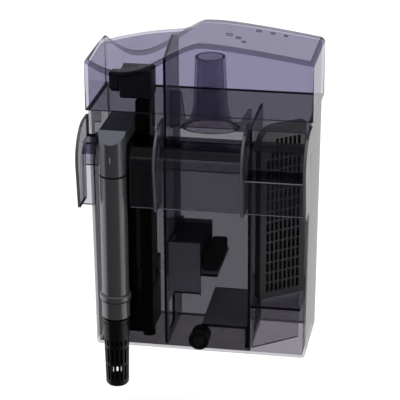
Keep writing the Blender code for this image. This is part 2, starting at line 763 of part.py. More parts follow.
def make_strainer(look, place, bore):
    """Slotted cup that pushes into the cuff from below."""
    top = STRAINER_TOP
    low = top - STRAINER_LENGTH
    outer = TUBE_RADIUS - GAP
    tip = STRAINER_TIP_RADIUS
    wall = TUBE_WALL
    neck = bore - SLIDE_GAP
    profile = [
        (neck - wall, top + COLLAR_HEIGHT),
        (neck, top + COLLAR_HEIGHT),
        (neck, top),
        (outer, top),
        (outer, top - 2 * RING),
        (outer - RING / 2, top - 2 * RING),
        (outer - RING / 2, top - 3 * RING),
        (outer, top - 3 * RING),
        (outer - RING / 2, top - STRAINER_SHOULDER * STRAINER_LENGTH),
        (tip, low + 2 * RING),
        (tip - RING, low + RING / 2),
        (tip - 3 * RING, low),
        (0, low),
        (0, low + wall),
        (tip - 3 * RING, low + wall),
        (tip - wall, low + wall + 1.5 * RING),
        (neck - wall, top - STRAINER_SHOULDER * STRAINER_LENGTH),
    ]
    strainer = turned(profile, (*place, 0), 2 * STRAINER_SLOTS)
    near = 0.55 * outer
    slots = bmesh.new()
    for first, last in STRAINER_ROWS:
        for i in range(STRAINER_SLOTS):
            made = bmesh.ops.create_cube(slots, size=1.0)["verts"]
            size = (outer, SLOT_WIDTH, (last - first) * STRAINER_LENGTH)
            bmesh.ops.scale(slots, vec=size, verts=made)
            bmesh.ops.translate(slots, vec=(near + outer / 2, 0, 0), verts=made)
            turn = Matrix.Rotation(2 * math.pi * (i + 0.5) / STRAINER_SLOTS, 4, "Z")
            middle = top - (first + last) / 2 * STRAINER_LENGTH
            move = Matrix.Translation((*place, middle)) @ turn
            bmesh.ops.transform(slots, matrix=move, verts=made)
    cut(strainer, mesh_object("slot_cutter", slots))
    return finish(strainer, "strainer", look, (*place, top))


# --- Pump


def make_riser(black, grey):
    """The duct from the pump up to the arm, its raised side, and the cap with the regulator's knob."""
    low = COVER_TOP + GAP
    arm_side = TUBE_X + TUBE_RADIUS + 2 * GAP
    duct = block((RISER_X0, RISER_Y0, low), (RISER_X1, RISER_Y1, -DECK), "riser_column")
    raised_high = (RISER_X1 - BITE, RISER_Y1 - BITE, RISER_HEAD)
    raised = block((arm_side, RISER_Y0 + BITE, -4 * DECK), raised_high, "raised")
    join(duct, raised)
    bore = block(
        (RISER_X0 + WALL, RISER_Y0 + WALL, low - WALL),
        (RISER_X1 - WALL, RISER_Y1 - WALL, -DECK + WALL),
        "bore",
    )
    bore_raised = block(
        (arm_side + WALL, RISER_Y0 + WALL + BITE, -4 * DECK),
        (RISER_X1 - WALL - BITE, RISER_Y1 - WALL - BITE, RISER_HEAD + WALL),
        "bore_raised",
    )
    cut(duct, bore, bore_raised)
    finish(duct, "riser_column", black)

    cap_low = RISER_HEAD + GAP
    cap_high = cap_low + CAP_HEIGHT
    cap_left = LEFT + CAP_LEFT
    cap_right = RISER_X1 + GAP
    cap_y0 = RISER_Y0 + 2 * WALL
    cap = block((cap_left, cap_y0, cap_low), (cap_right, cap_y0 + CAP_DEPTH, cap_high), "riser_cap")
    soften(cap, CAP_ROUND)
    hollow = block(
        (cap_left + WALL, cap_y0 + WALL, cap_low - WALL),
        (cap_right - WALL, cap_y0 + CAP_DEPTH - WALL, cap_high - WALL),
        "cap_hollow",
    )
    cut(cap, hollow)
    shaft_y = cap_y0 + CAP_DEPTH / 2
    shaft_z = cap_low + CAP_HEIGHT / 2
    shaft_hole = (cap_left + 2 * WALL, shaft_y, shaft_z)
    cut(cap, rod((cap_left - WALL, shaft_y, shaft_z), shaft_hole, VALVE_SHAFT + SLIDE_GAP))
    tab = block(
        (PUMP_X - CAP_TAB / 2, shaft_y - WALL / 2, cap_high - BITE),
        (PUMP_X + CAP_TAB / 2, shaft_y + WALL / 2, cap_high + WALL),
        "cap_tab",
    )
    join(cap, tab)
    finish(cap, "riser_cap", grey)
    make_regulator(grey, black, cap_left, shaft_y, shaft_z)


def make_regulator(grey, black, cap_left, y, z):
    """Ribbed knob on the cap's left side, and the shaft and flap that turn with it."""
    outer_x = cap_left - SLIDE_GAP
    knob = rod((outer_x - KNOB_WIDTH, y, z), (outer_x, y, z), KNOB_RADIUS, sides=36)
    soften(knob, 0.0006, 1)
    pointer = block(
        (outer_x - KNOB_WIDTH - WALL, y - WALL / 2, z - KNOB_RADIUS * 0.8),
        (outer_x - KNOB_WIDTH + BITE, y + WALL / 2, z + KNOB_RADIUS * 0.8),
        "pointer",
    )
    socket = rod((outer_x - KNOB_WIDTH / 2, y, z), (outer_x + WALL, y, z), VALVE_SHAFT + GAP, sides=20)
    join(knob, pointer)
    cut(knob, socket)
    finish(knob, "flow_knob", grey, (outer_x, y, z))
    reach = RISER_X1 - 3 * WALL
    shaft = rod((outer_x - KNOB_WIDTH / 2 + GAP, y, z), (reach, y, z), VALVE_SHAFT, sides=20)
    flap_reach = CAP_DEPTH / 2 - WALL - SLIDE_GAP
    flap = block(
        (cap_left + 2 * WALL, y - WALL / 2, z - flap_reach),
        (reach - WALL, y + WALL / 2, z),
        "flap",
    )
    join(shaft, flap)
    finish(shaft, "flow_valve", black, (outer_x, y, z))


def make_motor(black, rubber, steel, ceramic, white):
    y0 = RISER_Y0
    y1 = RISER_Y0 + MOTOR_DEPTH
    centre = (PUMP_X, PUMP_Y)
    well_radius = ROTOR_RADIUS + SLIDE_GAP
    bush_height = 2 * WALL
    well_bottom = MOTOR_TOP - ROTOR_LENGTH - bush_height - SLIDE_GAP
    motor = block((RISER_X0, y0, MOTOR_BOTTOM), (RISER_X1, y1, MOTOR_TOP), "motor_housing")
    soften(motor, MOTOR_ROUND)
    cut(motor, rod((*centre, well_bottom), (*centre, MOTOR_TOP + WALL), well_radius, sides=32))
    finish(motor, "motor_housing", black)
    for side, x in (("left", RISER_X0 + FOOT_INSET), ("right", RISER_X1 - FOOT_INSET)):
        foot = turned(
            [
                (0, MOTOR_BOTTOM - GAP),
                (FOOT_RADIUS - 2 * BITE, MOTOR_BOTTOM - GAP),
                (FOOT_RADIUS, FLOOR + GAP),
                (0, FLOOR + GAP),
            ],
            (x, PUMP_Y, 0),
            24,
        )
        finish(foot, f"motor_foot_{side}", rubber)

    lower_bush = tube(
        well_bottom + GAP, well_bottom + bush_height, ROTOR_RADIUS - GAP, SHAFT_RADIUS + GAP / 2, centre, 24
    )
    finish(lower_bush, "lower_bush", rubber)
    rotor_low = well_bottom + bush_height + SLIDE_GAP
    rotor_high = rotor_low + ROTOR_LENGTH
    rotor = tube(rotor_low, rotor_high, ROTOR_RADIUS, SHAFT_RADIUS + GAP, centre, 32)
    pivot = (*centre, rotor_low)
    finish(rotor, "rotor_magnet", steel, pivot)
    make_impeller(white, centre, rotor_high + SLIDE_GAP, pivot)
    cover_inner = COVER_TOP - WALL
    shaft = rod((*centre, well_bottom + GAP), (*centre, cover_inner - GAP), SHAFT_RADIUS, sides=16)
    finish(shaft, "impeller_shaft", ceramic)
    bush_low = cover_inner - WALL - GAP
    upper_bush = tube(bush_low, cover_inner - GAP, BUSH_RADIUS, SHAFT_RADIUS + GAP / 2, centre, 20)
    finish(upper_bush, "upper_bush", rubber)
    make_pump_cover(black, steel, centre)


def make_impeller(look, centre, low, pivot):
    """Hub with straight blades, turning with the rotor."""
    height = COVER_TOP - 2 * WALL - 3 * GAP - low
    impeller = tube(low, low + height - WALL, HUB_RADIUS, SHAFT_RADIUS + GAP, centre, 20)
    join(impeller, tube(low + BITE / 2, low + WALL / 2, IMPELLER_RADIUS, SHAFT_RADIUS + 2 * GAP, centre, 30))
    for i in range(IMPELLER_BLADES):
        shape = bmesh.new()
        bmesh.ops.create_cube(shape, size=1.0)
        root = HUB_RADIUS - 2 * GAP
        reach = IMPELLER_RADIUS - root
        bmesh.ops.scale(shape, vec=(reach, WALL / 2, height * 0.55), verts=shape.verts)
        bmesh.ops.translate(shape, vec=(root + reach / 2, 0, height * 0.3), verts=shape.verts)
        turn = Matrix.Rotation(2 * math.pi * i / IMPELLER_BLADES, 4, "Z")
        move = Matrix.Translation((*centre, low)) @ turn
        bmesh.ops.transform(shape, matrix=move, verts=shape.verts)
        join(impeller, mesh_object("blade", shape))
    return finish(impeller, "impeller", look, pivot)


def make_pump_cover(look, steel, centre):
    """The volute: open below, with the side outlet to the media chamber, held by two screws."""
    low = MOTOR_TOP + GAP
    cover = block((RISER_X0, RISER_Y0, low), (RISER_X1, RISER_Y0 + MOTOR_DEPTH, COVER_TOP), "impeller_cover")
    soften(cover, 0.001, 1)
    cut(cover, rod((*centre, low - WALL), (*centre, COVER_TOP - WALL), IMPELLER_RADIUS + IMPELLER_CLEAR))
    outlet_z = (low + COVER_TOP - WALL) / 2
    outlet = rod((*centre, outlet_z), (RISER_X1 + WALL, centre[1], outlet_z), OUTLET_RADIUS, sides=24)
    inlet = block(
        (RISER_X0 + 2 * WALL, RISER_Y0 + 2 * WALL, COVER_TOP - 2 * WALL),
        (RISER_X0 + 4 * WALL, RISER_Y1 - 2 * WALL, COVER_TOP + WALL),
        "inlet",
    )
    inner_eye = block(
        (RISER_X0 + 2 * WALL, RISER_Y0 + 2 * WALL, COVER_TOP - 3 * WALL),
        (centre[0], RISER_Y1 - 2 * WALL, COVER_TOP - 1.5 * WALL),
        "inner_eye",
    )
    cut(cover, outlet, inlet, inner_eye)
    screw_y = RISER_Y0 + MOTOR_DEPTH - SCREW_INSET
    seat = COVER_TOP + GAP
    for side, x in (("left", RISER_X0 + SCREW_INSET), ("right", RISER_X1 - SCREW_INSET)):
        hole = rod((x, screw_y, low - WALL), (x, screw_y, COVER_TOP + WALL), SCREW_RADIUS + GAP, sides=16)
        cut(cover, hole)
        screw = turned(
            [
                (0, seat + SCREW_HEAD),
                (SCREW_HEAD_RADIUS - 2 * BITE, seat + SCREW_HEAD),
                (SCREW_HEAD_RADIUS, seat + SCREW_HEAD - 2 * BITE),
                (SCREW_HEAD_RADIUS, seat),
                (SCREW_RADIUS, seat),
                (SCREW_RADIUS, low + GAP),
                (0, low + GAP),
            ],
            (x, screw_y, 0),
            20,
        )
        finish(screw, f"cover_screw_{side}", steel)
    return finish(cover, "impeller_cover", look)


def make_gland(look):
    """Rubber gland in the back wall, where the mains lead of the motor leaves the box."""
    y0 = INNER_BACK - GLAND_INSIDE
    y1 = BACK + GLAND_OUTSIDE
    gland = rod((PUMP_X, y0, GLAND_Z), (PUMP_X, y1, GLAND_Z), GLAND_RADIUS, sides=24)
    head_end = (PUMP_X, BACK + GLAND_OUTSIDE / 2, GLAND_Z)
    head = rod((PUMP_X, BACK + GAP, GLAND_Z), head_end, GLAND_RADIUS * 1.5, sides=24)
    join(gland, head)
    cut(gland, rod((PUMP_X, y0 - WALL, GLAND_Z), (PUMP_X, y1 + WALL, GLAND_Z), GLAND_CORE, sides=20))
    return finish(gland, "cable_gland", look)


# --- Media


def make_cassette(dark, sponge_look, carbon_look):
    """Stepped tray on the left side of the middle chamber, and its bottle-shaped grip."""
    x0 = CASSETTE_X
    x1 = x0 + CASSETTE_FRONT_WIDTH
    x2 = x0 + CASSETTE_WIDTH
    y0 = CASSETTE_Y0
    y1 = CASSETTE_Y1
    floor_z = BOTTOM + CASSETTE_FLOOR
    top_z = BOTTOM + CASSETTE_TOP
    tray = block((x0, y0, floor_z), (x2, y1, floor_z + SHEET), "media_cassette")
    low = floor_z - CASSETTE_SKIRT
    front = block((x0 + BITE, y0 - BITE, low), (x1, y0 + SHEET, top_z), "front")
    left = block((x0 - BITE / 2, y0 + BITE, floor_z - SHEET), (x0 + SHEET, y1 - BITE, top_z - BITE), "left")
    back = block((x0 + BITE, y1 - SHEET, floor_z + BITE), (x1, y1 - 2 * BITE, top_z - SHEET), "back")
    join(tray, front, left, back)
    finish(tray, "media_cassette", dark, (x0, y0, floor_z))

    media_y = (y0 + SHEET + GAP, y1 - SHEET - 2 * GAP)
    sponge = block(
        (x0 + SHEET + GAP, media_y[0], floor_z + SHEET + GAP),
        (x1 - GAP, media_y[1], top_z - 2 * SHEET),
        "filter_sponge",
    )
    finish(soften(sponge, MEDIA_ROUND), "filter_sponge", sponge_look, (x0, y0, floor_z))
    carbon = block(
        (x1 + 4 * GAP, media_y[0] + SHEET, floor_z + SHEET + GAP),
        (x2 - GAP, media_y[1] - SHEET, floor_z + SHEET + CARBON_HEIGHT),
        "carbon_block",
    )
    finish(soften(carbon, MEDIA_ROUND), "carbon_block", carbon_look, (x0, y0, floor_z))
    make_grip(dark, (x0, y0, floor_z), top_z)


def make_grip(look, pivot, cassette_top):
    """Hollow neck that flares to a wide saddle, on two legs that stand on the cassette's walls."""
    centre_x = (LEFT_PARTITION + RIGHT_PARTITION) / 2
    y = FRONT + GRIP_SETBACK
    foot_z = SPILL_HEIGHT / 2
    neck = GRIP_RADIUS
    neck_low = GRIP_SHOULDER
    steps = 6
    flare = [
        (
            neck + GRIP_DRAFT + (GRIP_FOOT - neck) * (1 - math.cos(math.pi / 2 * i / steps)),
            neck_low + (foot_z - neck_low) * math.sin(math.pi / 2 * i / steps),
        )
        for i in range(steps + 1)
    ]
    wall = SHEET
    outer = [(neck - BITE, GRIP_TIP), *flare]
    inner = [(radius - wall, z) for radius, z in reversed(flare)] + [(neck - wall, GRIP_TIP)]
    grip = turned(outer + inner, (centre_x, y, 0), 36)
    for vert in grip.data.vertices:
        share = min(1.0, max(0.0, (neck_low - vert.co.z) / (neck_low - foot_z)))
        vert.co.y = y + (vert.co.y - y) * (1 - (1 - GRIP_SQUEEZE) * share)
    left = LEFT_PARTITION + WALL / 2 + SLIDE_GAP
    right = RIGHT_PARTITION - WALL / 2 - SLIDE_GAP
    saddle_top = foot_z + 2 * SHEET
    fin_left = saddle_top + FIN_LEFT
    fin_right = saddle_top + FIN_RIGHT
    outline = [
        (left, foot_z - SHEET),
        (right, foot_z - SHEET),
        (right, fin_right),
        (right - SHEET, fin_right),
        (right - FIN_WIDTH, saddle_top),
        (left + FIN_WIDTH + FIN_SLOPE, saddle_top),
        (left + FIN_WIDTH, fin_left),
        (left, fin_left),
    ]
    saddle = plate([outline], "Y", y - SHEET / 2, y + SHEET / 2, "saddle")
    hole_low = foot_z - 2 * SHEET
    hole = turned(
        [(0, neck_low), (neck - wall, neck_low), (GRIP_FOOT - wall, hole_low), (0, hole_low)],
        (centre_x, y, 0),
        24,
    )
    leg = block(
        (left + SHEET + BITE, y - SHEET, cassette_top + GAP),
        (left + 3 * SHEET, y + SHEET, foot_z),
        "leg",
    )
    cut(saddle, hole)
    join(grip, saddle, leg)
    return finish(grip, "cassette_grip", look, pivot)


def make_baffle(look):
    """Sloping plate low in the middle chamber, which turns the flow up through the media."""
    x0 = LEFT_PARTITION + BAFFLE_LEFT
    x1 = RIGHT_PARTITION - WALL / 2 - GAP
    y0 = INNER_FRONT + GAP
    y1 = INNER_BACK - GAP
    front = BOTTOM + BAFFLE_FRONT
    back = BOTTOM + BAFFLE_BACK
    outline = [(y0, front - SHEET), (y1, back - SHEET), (y1, back), (y0, front)]
    shelf = plate([outline], "X", x0, x1, "lower_baffle")
    leg = block((x1 - SHEET, y1 - 3 * SHEET, FLOOR + GAP), (x1 - BITE, y1 - BITE, back - SHEET / 2), "leg")
    near_high = (x1 - BITE, y0 + 4 * SHEET, front - BITE)
    near_leg = block((x1 - SHEET, y0 + 2 * SHEET, FLOOR + GAP), near_high, "leg")
    join(shelf, leg, near_leg)
    return finish(shelf, "lower_baffle", look)


# --- Cartridge


def cartridge_place():
    """From the cartridge's own axes, X along it and Y through it, to the chamber."""
    x = RIGHT_PARTITION + WALL / 2 + FRAME_LEFT
    start = Vector((x, INNER_FRONT + FRAME_FRONT, BOTTOM + REST_HEIGHT + GAP))
    return Matrix.Translation(start) @ Matrix.Rotation(FRAME_ANGLE, 4, "Z")


def make_cartridge(frame_look, pad_look):
    height = FRAME_TOP - REST_HEIGHT - GAP
    length = FRAME_LENGTH
    arch = FRAME_ARCH
    border = FRAME_BORDER
    outline = [(0, 0), (length, 0), (length, height)] + arc((arch, height - arch), arch, 90, 180, 6)
    cell_x = (length - 2 * border + GRID_BAR) / GRID_COLUMNS
    cell_z = (height - 2 * border - arch / 3 + GRID_BAR) / GRID_ROWS
    holes = []
    for row in range(GRID_ROWS):
        for column in range(GRID_COLUMNS):
            in_corner = row == GRID_ROWS - 1 and column < 2 or row == GRID_ROWS - 2 and column < 1
            if in_corner:
                continue
            a = border + column * cell_x
            b = border + row * cell_z
            holes.append(rectangle(a, a + cell_x - GRID_BAR, b, b + cell_z - GRID_BAR))
    frame = plate([outline, *holes], "Y", 0, FRAME_SHEET, "cartridge_frame")
    rim = plate(
        [
            outline,
            [(SHEET, SHEET), (length - SHEET, SHEET), (length - SHEET, height - SHEET)]
            + arc((arch, height - arch), arch - SHEET, 90, 180, 6),
        ],
        "Y",
        FRAME_SHEET - BITE,
        FRAME_SHEET + PAD_DEPTH + 2 * GAP,
        "rim",
    )
    join(frame, rim)
    inset = SHEET + 2 * GAP
    pad = plate(
        [
            [(inset, inset), (length - inset, inset), (length - inset, height - inset)]
            + arc((arch, height - arch), arch - inset, 90, 180, 6)
        ],
        "Y",
        FRAME_SHEET + GAP,
        FRAME_SHEET + PAD_DEPTH,
        "cartridge_pad",
    )
    place = cartridge_place()
    pivot = place.translation
    for made, name, look in ((frame, "cartridge_frame", frame_look), (pad, "cartridge_pad", pad_look)):
        made.data.transform(place)
        for step in made.modifiers:
            step.object.data.transform(place)
        finish(made, name, look, pivot)


def make_rest(look):
    """Shelf at the cartridge's foot, on a wall that crosses the chamber below it."""
    x0 = RIGHT_PARTITION + WALL / 2 + GAP
    draft = BODY_TAPER * taper_share(BOTTOM + REST_HEIGHT / 2)
    x1 = RIGHT - WALL - draft - BODY_TAPER
    y0 = INNER_FRONT + GAP
    y1 = INNER_BACK - GAP
    top = BOTTOM + REST_HEIGHT
    shelf = plate([rectangle(x0, x1, y0, y1)], "Z", top - SHEET, top, "cartridge_rest")
    run = (x1 - x0) * REST_WALL_SHARE
    slope = math.tan(FRAME_ANGLE)
    start_y = y0 + PORT_EDGE
    wall = plate(
        [
            [
                (x0 + BITE, start_y),
                (x0 + run, start_y + run * slope),
                (x0 + run, start_y + run * slope + SHEET),
                (x0 + BITE, start_y + SHEET),
            ]
        ],
        "Z",
        FLOOR + GAP,
        top - SHEET / 2,
        "crosswall",
    )
    join(shelf, wall)
    port_outline = rectangle(x0 + PORT_EDGE, x1 - PORT_EDGE, y1 - PORT_EDGE - PORT_DEPTH, y1 - PORT_EDGE)
    port = plate([port_outline], "Z", top - 2 * SHEET, top + SHEET, "port")
    cut(shelf, port)
    return finish(shelf, "cartridge_rest", look)


# --- Levelling screw


def make_level(black, rubber):
    """Blind socket in the box's front wall, the threaded knob in it and the soft tip for the glass."""
    z = LEVEL_Z
    lip_y = FRONT - SOCKET_LIP
    closed_y = INNER_FRONT + LEVEL_SOCKET
    socket = rod((0, lip_y, z), (0, closed_y, z), LEVEL_RADIUS, sides=32)
    cut(socket, rod((0, lip_y - WALL, z), (0, closed_y - WALL, z), LEVEL_STEM + SLIDE_GAP, sides=24))
    finish(socket, "level_socket", black)
    head_back = lip_y - SLIDE_GAP
    head_front = head_back - LEVEL_HEAD + LEVEL_PAD
    knob = rod((0, head_front, z), (0, head_back, z), LEVEL_RADIUS, sides=36)
    stem = rod((0, head_back - BITE, z), (0, closed_y - WALL - SLIDE_GAP, z), LEVEL_STEM, sides=20)
    join(knob, stem)
    recess_end = (0, head_front + LEVEL_HEAD / 4, z)
    cut(knob, rod((0, head_front - WALL, z), recess_end, LEVEL_RADIUS * LEVEL_RECESS, sides=24))
    pivot = (0, head_back, z)
    finish(knob, "level_knob", black, pivot)
    pad = rod(
        (0, head_front + LEVEL_HEAD / 4 - GAP, z),
        (0, head_front - LEVEL_PAD, z),
        LEVEL_RADIUS * LEVEL_RECESS - GAP,
        LEVEL_RADIUS * 0.5,
        sides=28,
    )
    finish(pad, "level_pad", rubber, pivot)


def main():
    global scene_parts, scene_cutters
    clear_scene()
    scene_parts = new_collection("hang_on_back_filter")
    scene_cutters = new_collection("cutters")
    scene_cutters.hide_render = True
    smoke = material("smoke_clear", SMOKE, 0.08, alpha=0.45)
    dark_smoke = material("dark_smoke", (0.05, 0.048, 0.055), 0.15)
    black = material("black_plastic", BLACK, 0.3)
    grey = material("dark_grey_plastic", (0.045, 0.047, 0.05), 0.35)
    tube_look = material("tube_plastic", (0.05, 0.053, 0.055), 0.25)
    rubber = material("rubber", (0.02, 0.02, 0.02), 0.8)
    steel = material("steel", (0.55, 0.55, 0.56), 0.3, metallic=1.0)
    ceramic = material("ceramic", (0.85, 0.83, 0.8), 0.2)
    white = material("impeller_plastic", (0.08, 0.1, 0.3), 0.4)
    foam = material("foam", (0.03, 0.03, 0.032), 0.95)
    carbon = material("carbon", (0.02, 0.02, 0.02), 0.9)

    make_body(smoke)
    make_hook(smoke)
    make_lid(smoke)
    make_left_partition(dark_smoke)
    make_right_partition(dark_smoke)
    make_elbow(tube_look)
    make_intake(tube_look, black, rubber)
    make_riser(black, grey)
    make_motor(black, rubber, steel, ceramic, white)
    make_gland(rubber)
    make_cassette(dark_smoke, foam, carbon)
    make_baffle(dark_smoke)
    make_cartridge(black, foam)
    make_rest(smoke)
    make_level(black, rubber)


main()
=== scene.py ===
"""Looks of the hang on back aquarium filter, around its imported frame. Metres, +Z up.

The frame's origin is in the middle of the hook deck's underside. +Y points away from the aquarium, so the filter
box is at +Y, and the spillway and the intake tube are at -Y. The camera looks from the aquarium's side.
"""

import json
import math

import bmesh
import bpy
from mathutils import Matrix, Vector


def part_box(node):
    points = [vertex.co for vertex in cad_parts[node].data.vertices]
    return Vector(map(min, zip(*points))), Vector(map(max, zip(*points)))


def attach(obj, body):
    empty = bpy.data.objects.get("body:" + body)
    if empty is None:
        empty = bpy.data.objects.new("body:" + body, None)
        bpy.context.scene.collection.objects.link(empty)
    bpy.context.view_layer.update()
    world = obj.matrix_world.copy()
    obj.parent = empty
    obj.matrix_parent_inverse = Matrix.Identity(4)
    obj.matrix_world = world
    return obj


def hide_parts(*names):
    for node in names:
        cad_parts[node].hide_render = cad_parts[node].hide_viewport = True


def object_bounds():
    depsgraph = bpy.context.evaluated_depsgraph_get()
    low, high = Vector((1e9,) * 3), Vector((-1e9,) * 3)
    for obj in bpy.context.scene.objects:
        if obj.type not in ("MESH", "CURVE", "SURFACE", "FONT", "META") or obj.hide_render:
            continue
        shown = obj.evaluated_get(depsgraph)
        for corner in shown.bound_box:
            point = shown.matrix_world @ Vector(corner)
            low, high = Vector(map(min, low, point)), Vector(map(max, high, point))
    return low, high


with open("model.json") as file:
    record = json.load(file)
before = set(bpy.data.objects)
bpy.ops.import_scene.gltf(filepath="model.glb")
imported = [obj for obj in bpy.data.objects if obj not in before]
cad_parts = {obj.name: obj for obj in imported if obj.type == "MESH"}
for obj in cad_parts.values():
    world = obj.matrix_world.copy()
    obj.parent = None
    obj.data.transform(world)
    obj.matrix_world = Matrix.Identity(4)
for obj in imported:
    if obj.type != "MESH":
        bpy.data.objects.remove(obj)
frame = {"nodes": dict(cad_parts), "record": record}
cad_low, cad_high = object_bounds()
scene = bpy.context.scene

slots = {part["node"]: part["material_slot"] for part in frame["record"]["subparts"]}
rides = {node: body for body, nodes in frame["record"]["behaviour"]["bodies"].items() for node in nodes}

WALL = 0.0022  # of the box, the hook and the partitions
RIM_WIDTH, BOX_RIM_WIDTH = 0.0027, 0.0026  # the narrow side of a sheet is at most this wide
THIN_ROUNDING, SHEET_ROUNDING, BODY_ROUNDING, PAD_ROUNDING = 0.0002, 0.0003, 0.0004, 0.0008
SHARP = math.radians(34)  # edges sharper than this are rounded
FACING_UP = 0.95  # least Z of the normal of a level face
FACING_FRONT = -0.5  # greatest Y of the normal of a face that looks to the aquarium


# --- Materials


def new_material(name):
    made = bpy.data.materials.new(name)
    made.use_nodes = True
    made.node_tree.nodes.clear()
    return made, made.node_tree


def node(tree, kind, **settings):
    made = tree.nodes.new(kind)
    for key, value in settings.items():
        setattr(made, key, value)
    return made


def noise(tree, scale, detail=2.0):
    """A cloudy value from 0 to 1 that stays with the piece."""
    place = node(tree, "ShaderNodeTexCoord")
    made = node(tree, "ShaderNodeTexNoise")
    made.inputs["Scale"].default_value = scale
    made.inputs["Detail"].default_value = detail
    tree.links.new(place.outputs["Object"], made.inputs["Vector"])
    return made.outputs["Fac"]


def spread(tree, source, low, high):
    """A value from 0 to 1 carried to the range from low to high."""
    made = node(tree, "ShaderNodeMapRange")
    made.inputs["To Min"].default_value = low
    made.inputs["To Max"].default_value = high
    tree.links.new(source, made.inputs["Value"])
    return made.outputs["Result"]


def smooth_step(tree, source, low, high, to_low, to_high):
    """A smooth change from to_low to to_high as the source goes from low to high."""
    made = node(tree, "ShaderNodeMapRange", interpolation_type="SMOOTHSTEP")
    for name, value in (("From Min", low), ("From Max", high), ("To Min", to_low), ("To Max", to_high)):
        made.inputs[name].default_value = value
    tree.links.new(source, made.inputs["Value"])
    return made.outputs["Result"]


def combined(tree, operation, a, b, clamp=False):
    """Two values, or a number and a value, put through one operation."""
    made = node(tree, "ShaderNodeMath", operation=operation, use_clamp=clamp)
    for source, socket in ((a, made.inputs[0]), (b, made.inputs[1])):
        if isinstance(source, float):
            socket.default_value = source
        else:
            tree.links.new(source, socket)
    return made.outputs[0]


def blended(tree, share, first, second):
    """Two shaders, with share of the second, which is a number or a value."""
    made = node(tree, "ShaderNodeMixShader")
    if isinstance(share, float):
        made.inputs["Fac"].default_value = share
    else:
        tree.links.new(share, made.inputs["Fac"])
    tree.links.new(first, made.inputs[1])
    tree.links.new(second, made.inputs[2])
    return made.outputs[0]


def shaded(tree, kind, colour):
    made = node(tree, kind)
    made.inputs["Color"].default_value = (*colour, 1)
    return made.outputs[0]


PLASTIC_IOR = 1.49
GLOSS_ROUGHNESS = (0.024, 0.064)
FLOW_SCALE = 60.0  # of the slight unevenness of a clear sheet's gloss
GRAZE_START, GRAZE_END = 0.66, 0.86  # 0 is face on, 1 is edge on
KEPT_COLOUR = (0.01, 0.01, 0.012)


def clear_plastic(name, passed, shine=1.0, haze=0.0, milk=(0.2, 0.2, 0.22), graze=0.0):
    """Tinted see-through plastic. passed is the colour that one wall lets through, half of it at each face. shine is
    the strength of its gloss, haze is how much of a face scatters light of the colour milk, and graze is what a face
    keeps back when seen edge-on."""
    made, tree = new_material(name)
    out = node(tree, "ShaderNodeOutputMaterial")
    through = shaded(tree, "ShaderNodeBsdfTransparent", [math.sqrt(c) for c in passed])
    misty = blended(tree, haze, through, shaded(tree, "ShaderNodeBsdfDiffuse", milk))
    edge_on = node(tree, "ShaderNodeLayerWeight")
    edge_on.inputs["Blend"].default_value = 0.5
    held = smooth_step(tree, edge_on.outputs["Facing"], GRAZE_START, GRAZE_END, 0.0, graze)
    veiled = blended(tree, held, misty, shaded(tree, "ShaderNodeBsdfDiffuse", KEPT_COLOUR))
    gloss = node(tree, "ShaderNodeBsdfGlossy")
    tree.links.new(spread(tree, noise(tree, FLOW_SCALE), *GLOSS_ROUGHNESS), gloss.inputs["Roughness"])
    mirror = node(tree, "ShaderNodeFresnel")
    mirror.inputs["IOR"].default_value = PLASTIC_IOR
    outside = node(tree, "ShaderNodeNewGeometry")
    front = combined(tree, "SUBTRACT", shine, outside.outputs["Backfacing"], clamp=True)
    share = combined(tree, "MULTIPLY", mirror.outputs["Fac"], front)
    tree.links.new(blended(tree, share, veiled, gloss.outputs[0]), out.inputs["Surface"])
    return made


CLOUD_SCALE, CLOUD_DETAIL = 45.0, 4.0
SKIN_SCALE, SKIN_DEPTH = 900.0, 0.0004
ROUGHNESS_SPREAD = 0.15


def solid_plastic(name, colour, roughness, vary=0.12, bump=0.02, coat=0.0, metallic=0.0, specular=0.5):
    """Moulded plastic, rubber or metal: slightly uneven colour and roughness, and a fine skin."""
    made, tree = new_material(name)
    out = node(tree, "ShaderNodeOutputMaterial")
    shader = node(tree, "ShaderNodeBsdfPrincipled")
    shader.inputs["Metallic"].default_value = metallic
    shader.inputs["Specular IOR Level"].default_value = specular
    shader.inputs["Coat Weight"].default_value = coat
    shader.inputs["Coat Roughness"].default_value = 0.08
    cloud = noise(tree, CLOUD_SCALE, CLOUD_DETAIL)
    mix = node(tree, "ShaderNodeMix", data_type="RGBA")
    mix.inputs["A"].default_value = (*[c * (1 - vary) for c in colour], 1)
    mix.inputs["B"].default_value = (*[min(1, c * (1 + vary)) for c in colour], 1)
    tree.links.new(cloud, mix.inputs["Factor"])
    tree.links.new(mix.outputs["Result"], shader.inputs["Base Color"])
    low, high = roughness * (1 - ROUGHNESS_SPREAD), roughness * (1 + ROUGHNESS_SPREAD)
    tree.links.new(spread(tree, cloud, low, high), shader.inputs["Roughness"])
    raised = node(tree, "ShaderNodeBump")
    raised.inputs["Strength"].default_value = bump
    raised.inputs["Distance"].default_value = SKIN_DEPTH
    tree.links.new(noise(tree, SKIN_SCALE), raised.inputs["Height"])
    tree.links.new(raised.outputs["Normal"], shader.inputs["Normal"])
    tree.links.new(shader.outputs[0], out.inputs["Surface"])
    return made


CELL_PAINTED_LIGHT, CELL_PAINTED_SHADE = 1.5, 0.3  # painted light on the middle of a cell and painted shade at its edge, times the colour
CELL_BUMP = 0.8


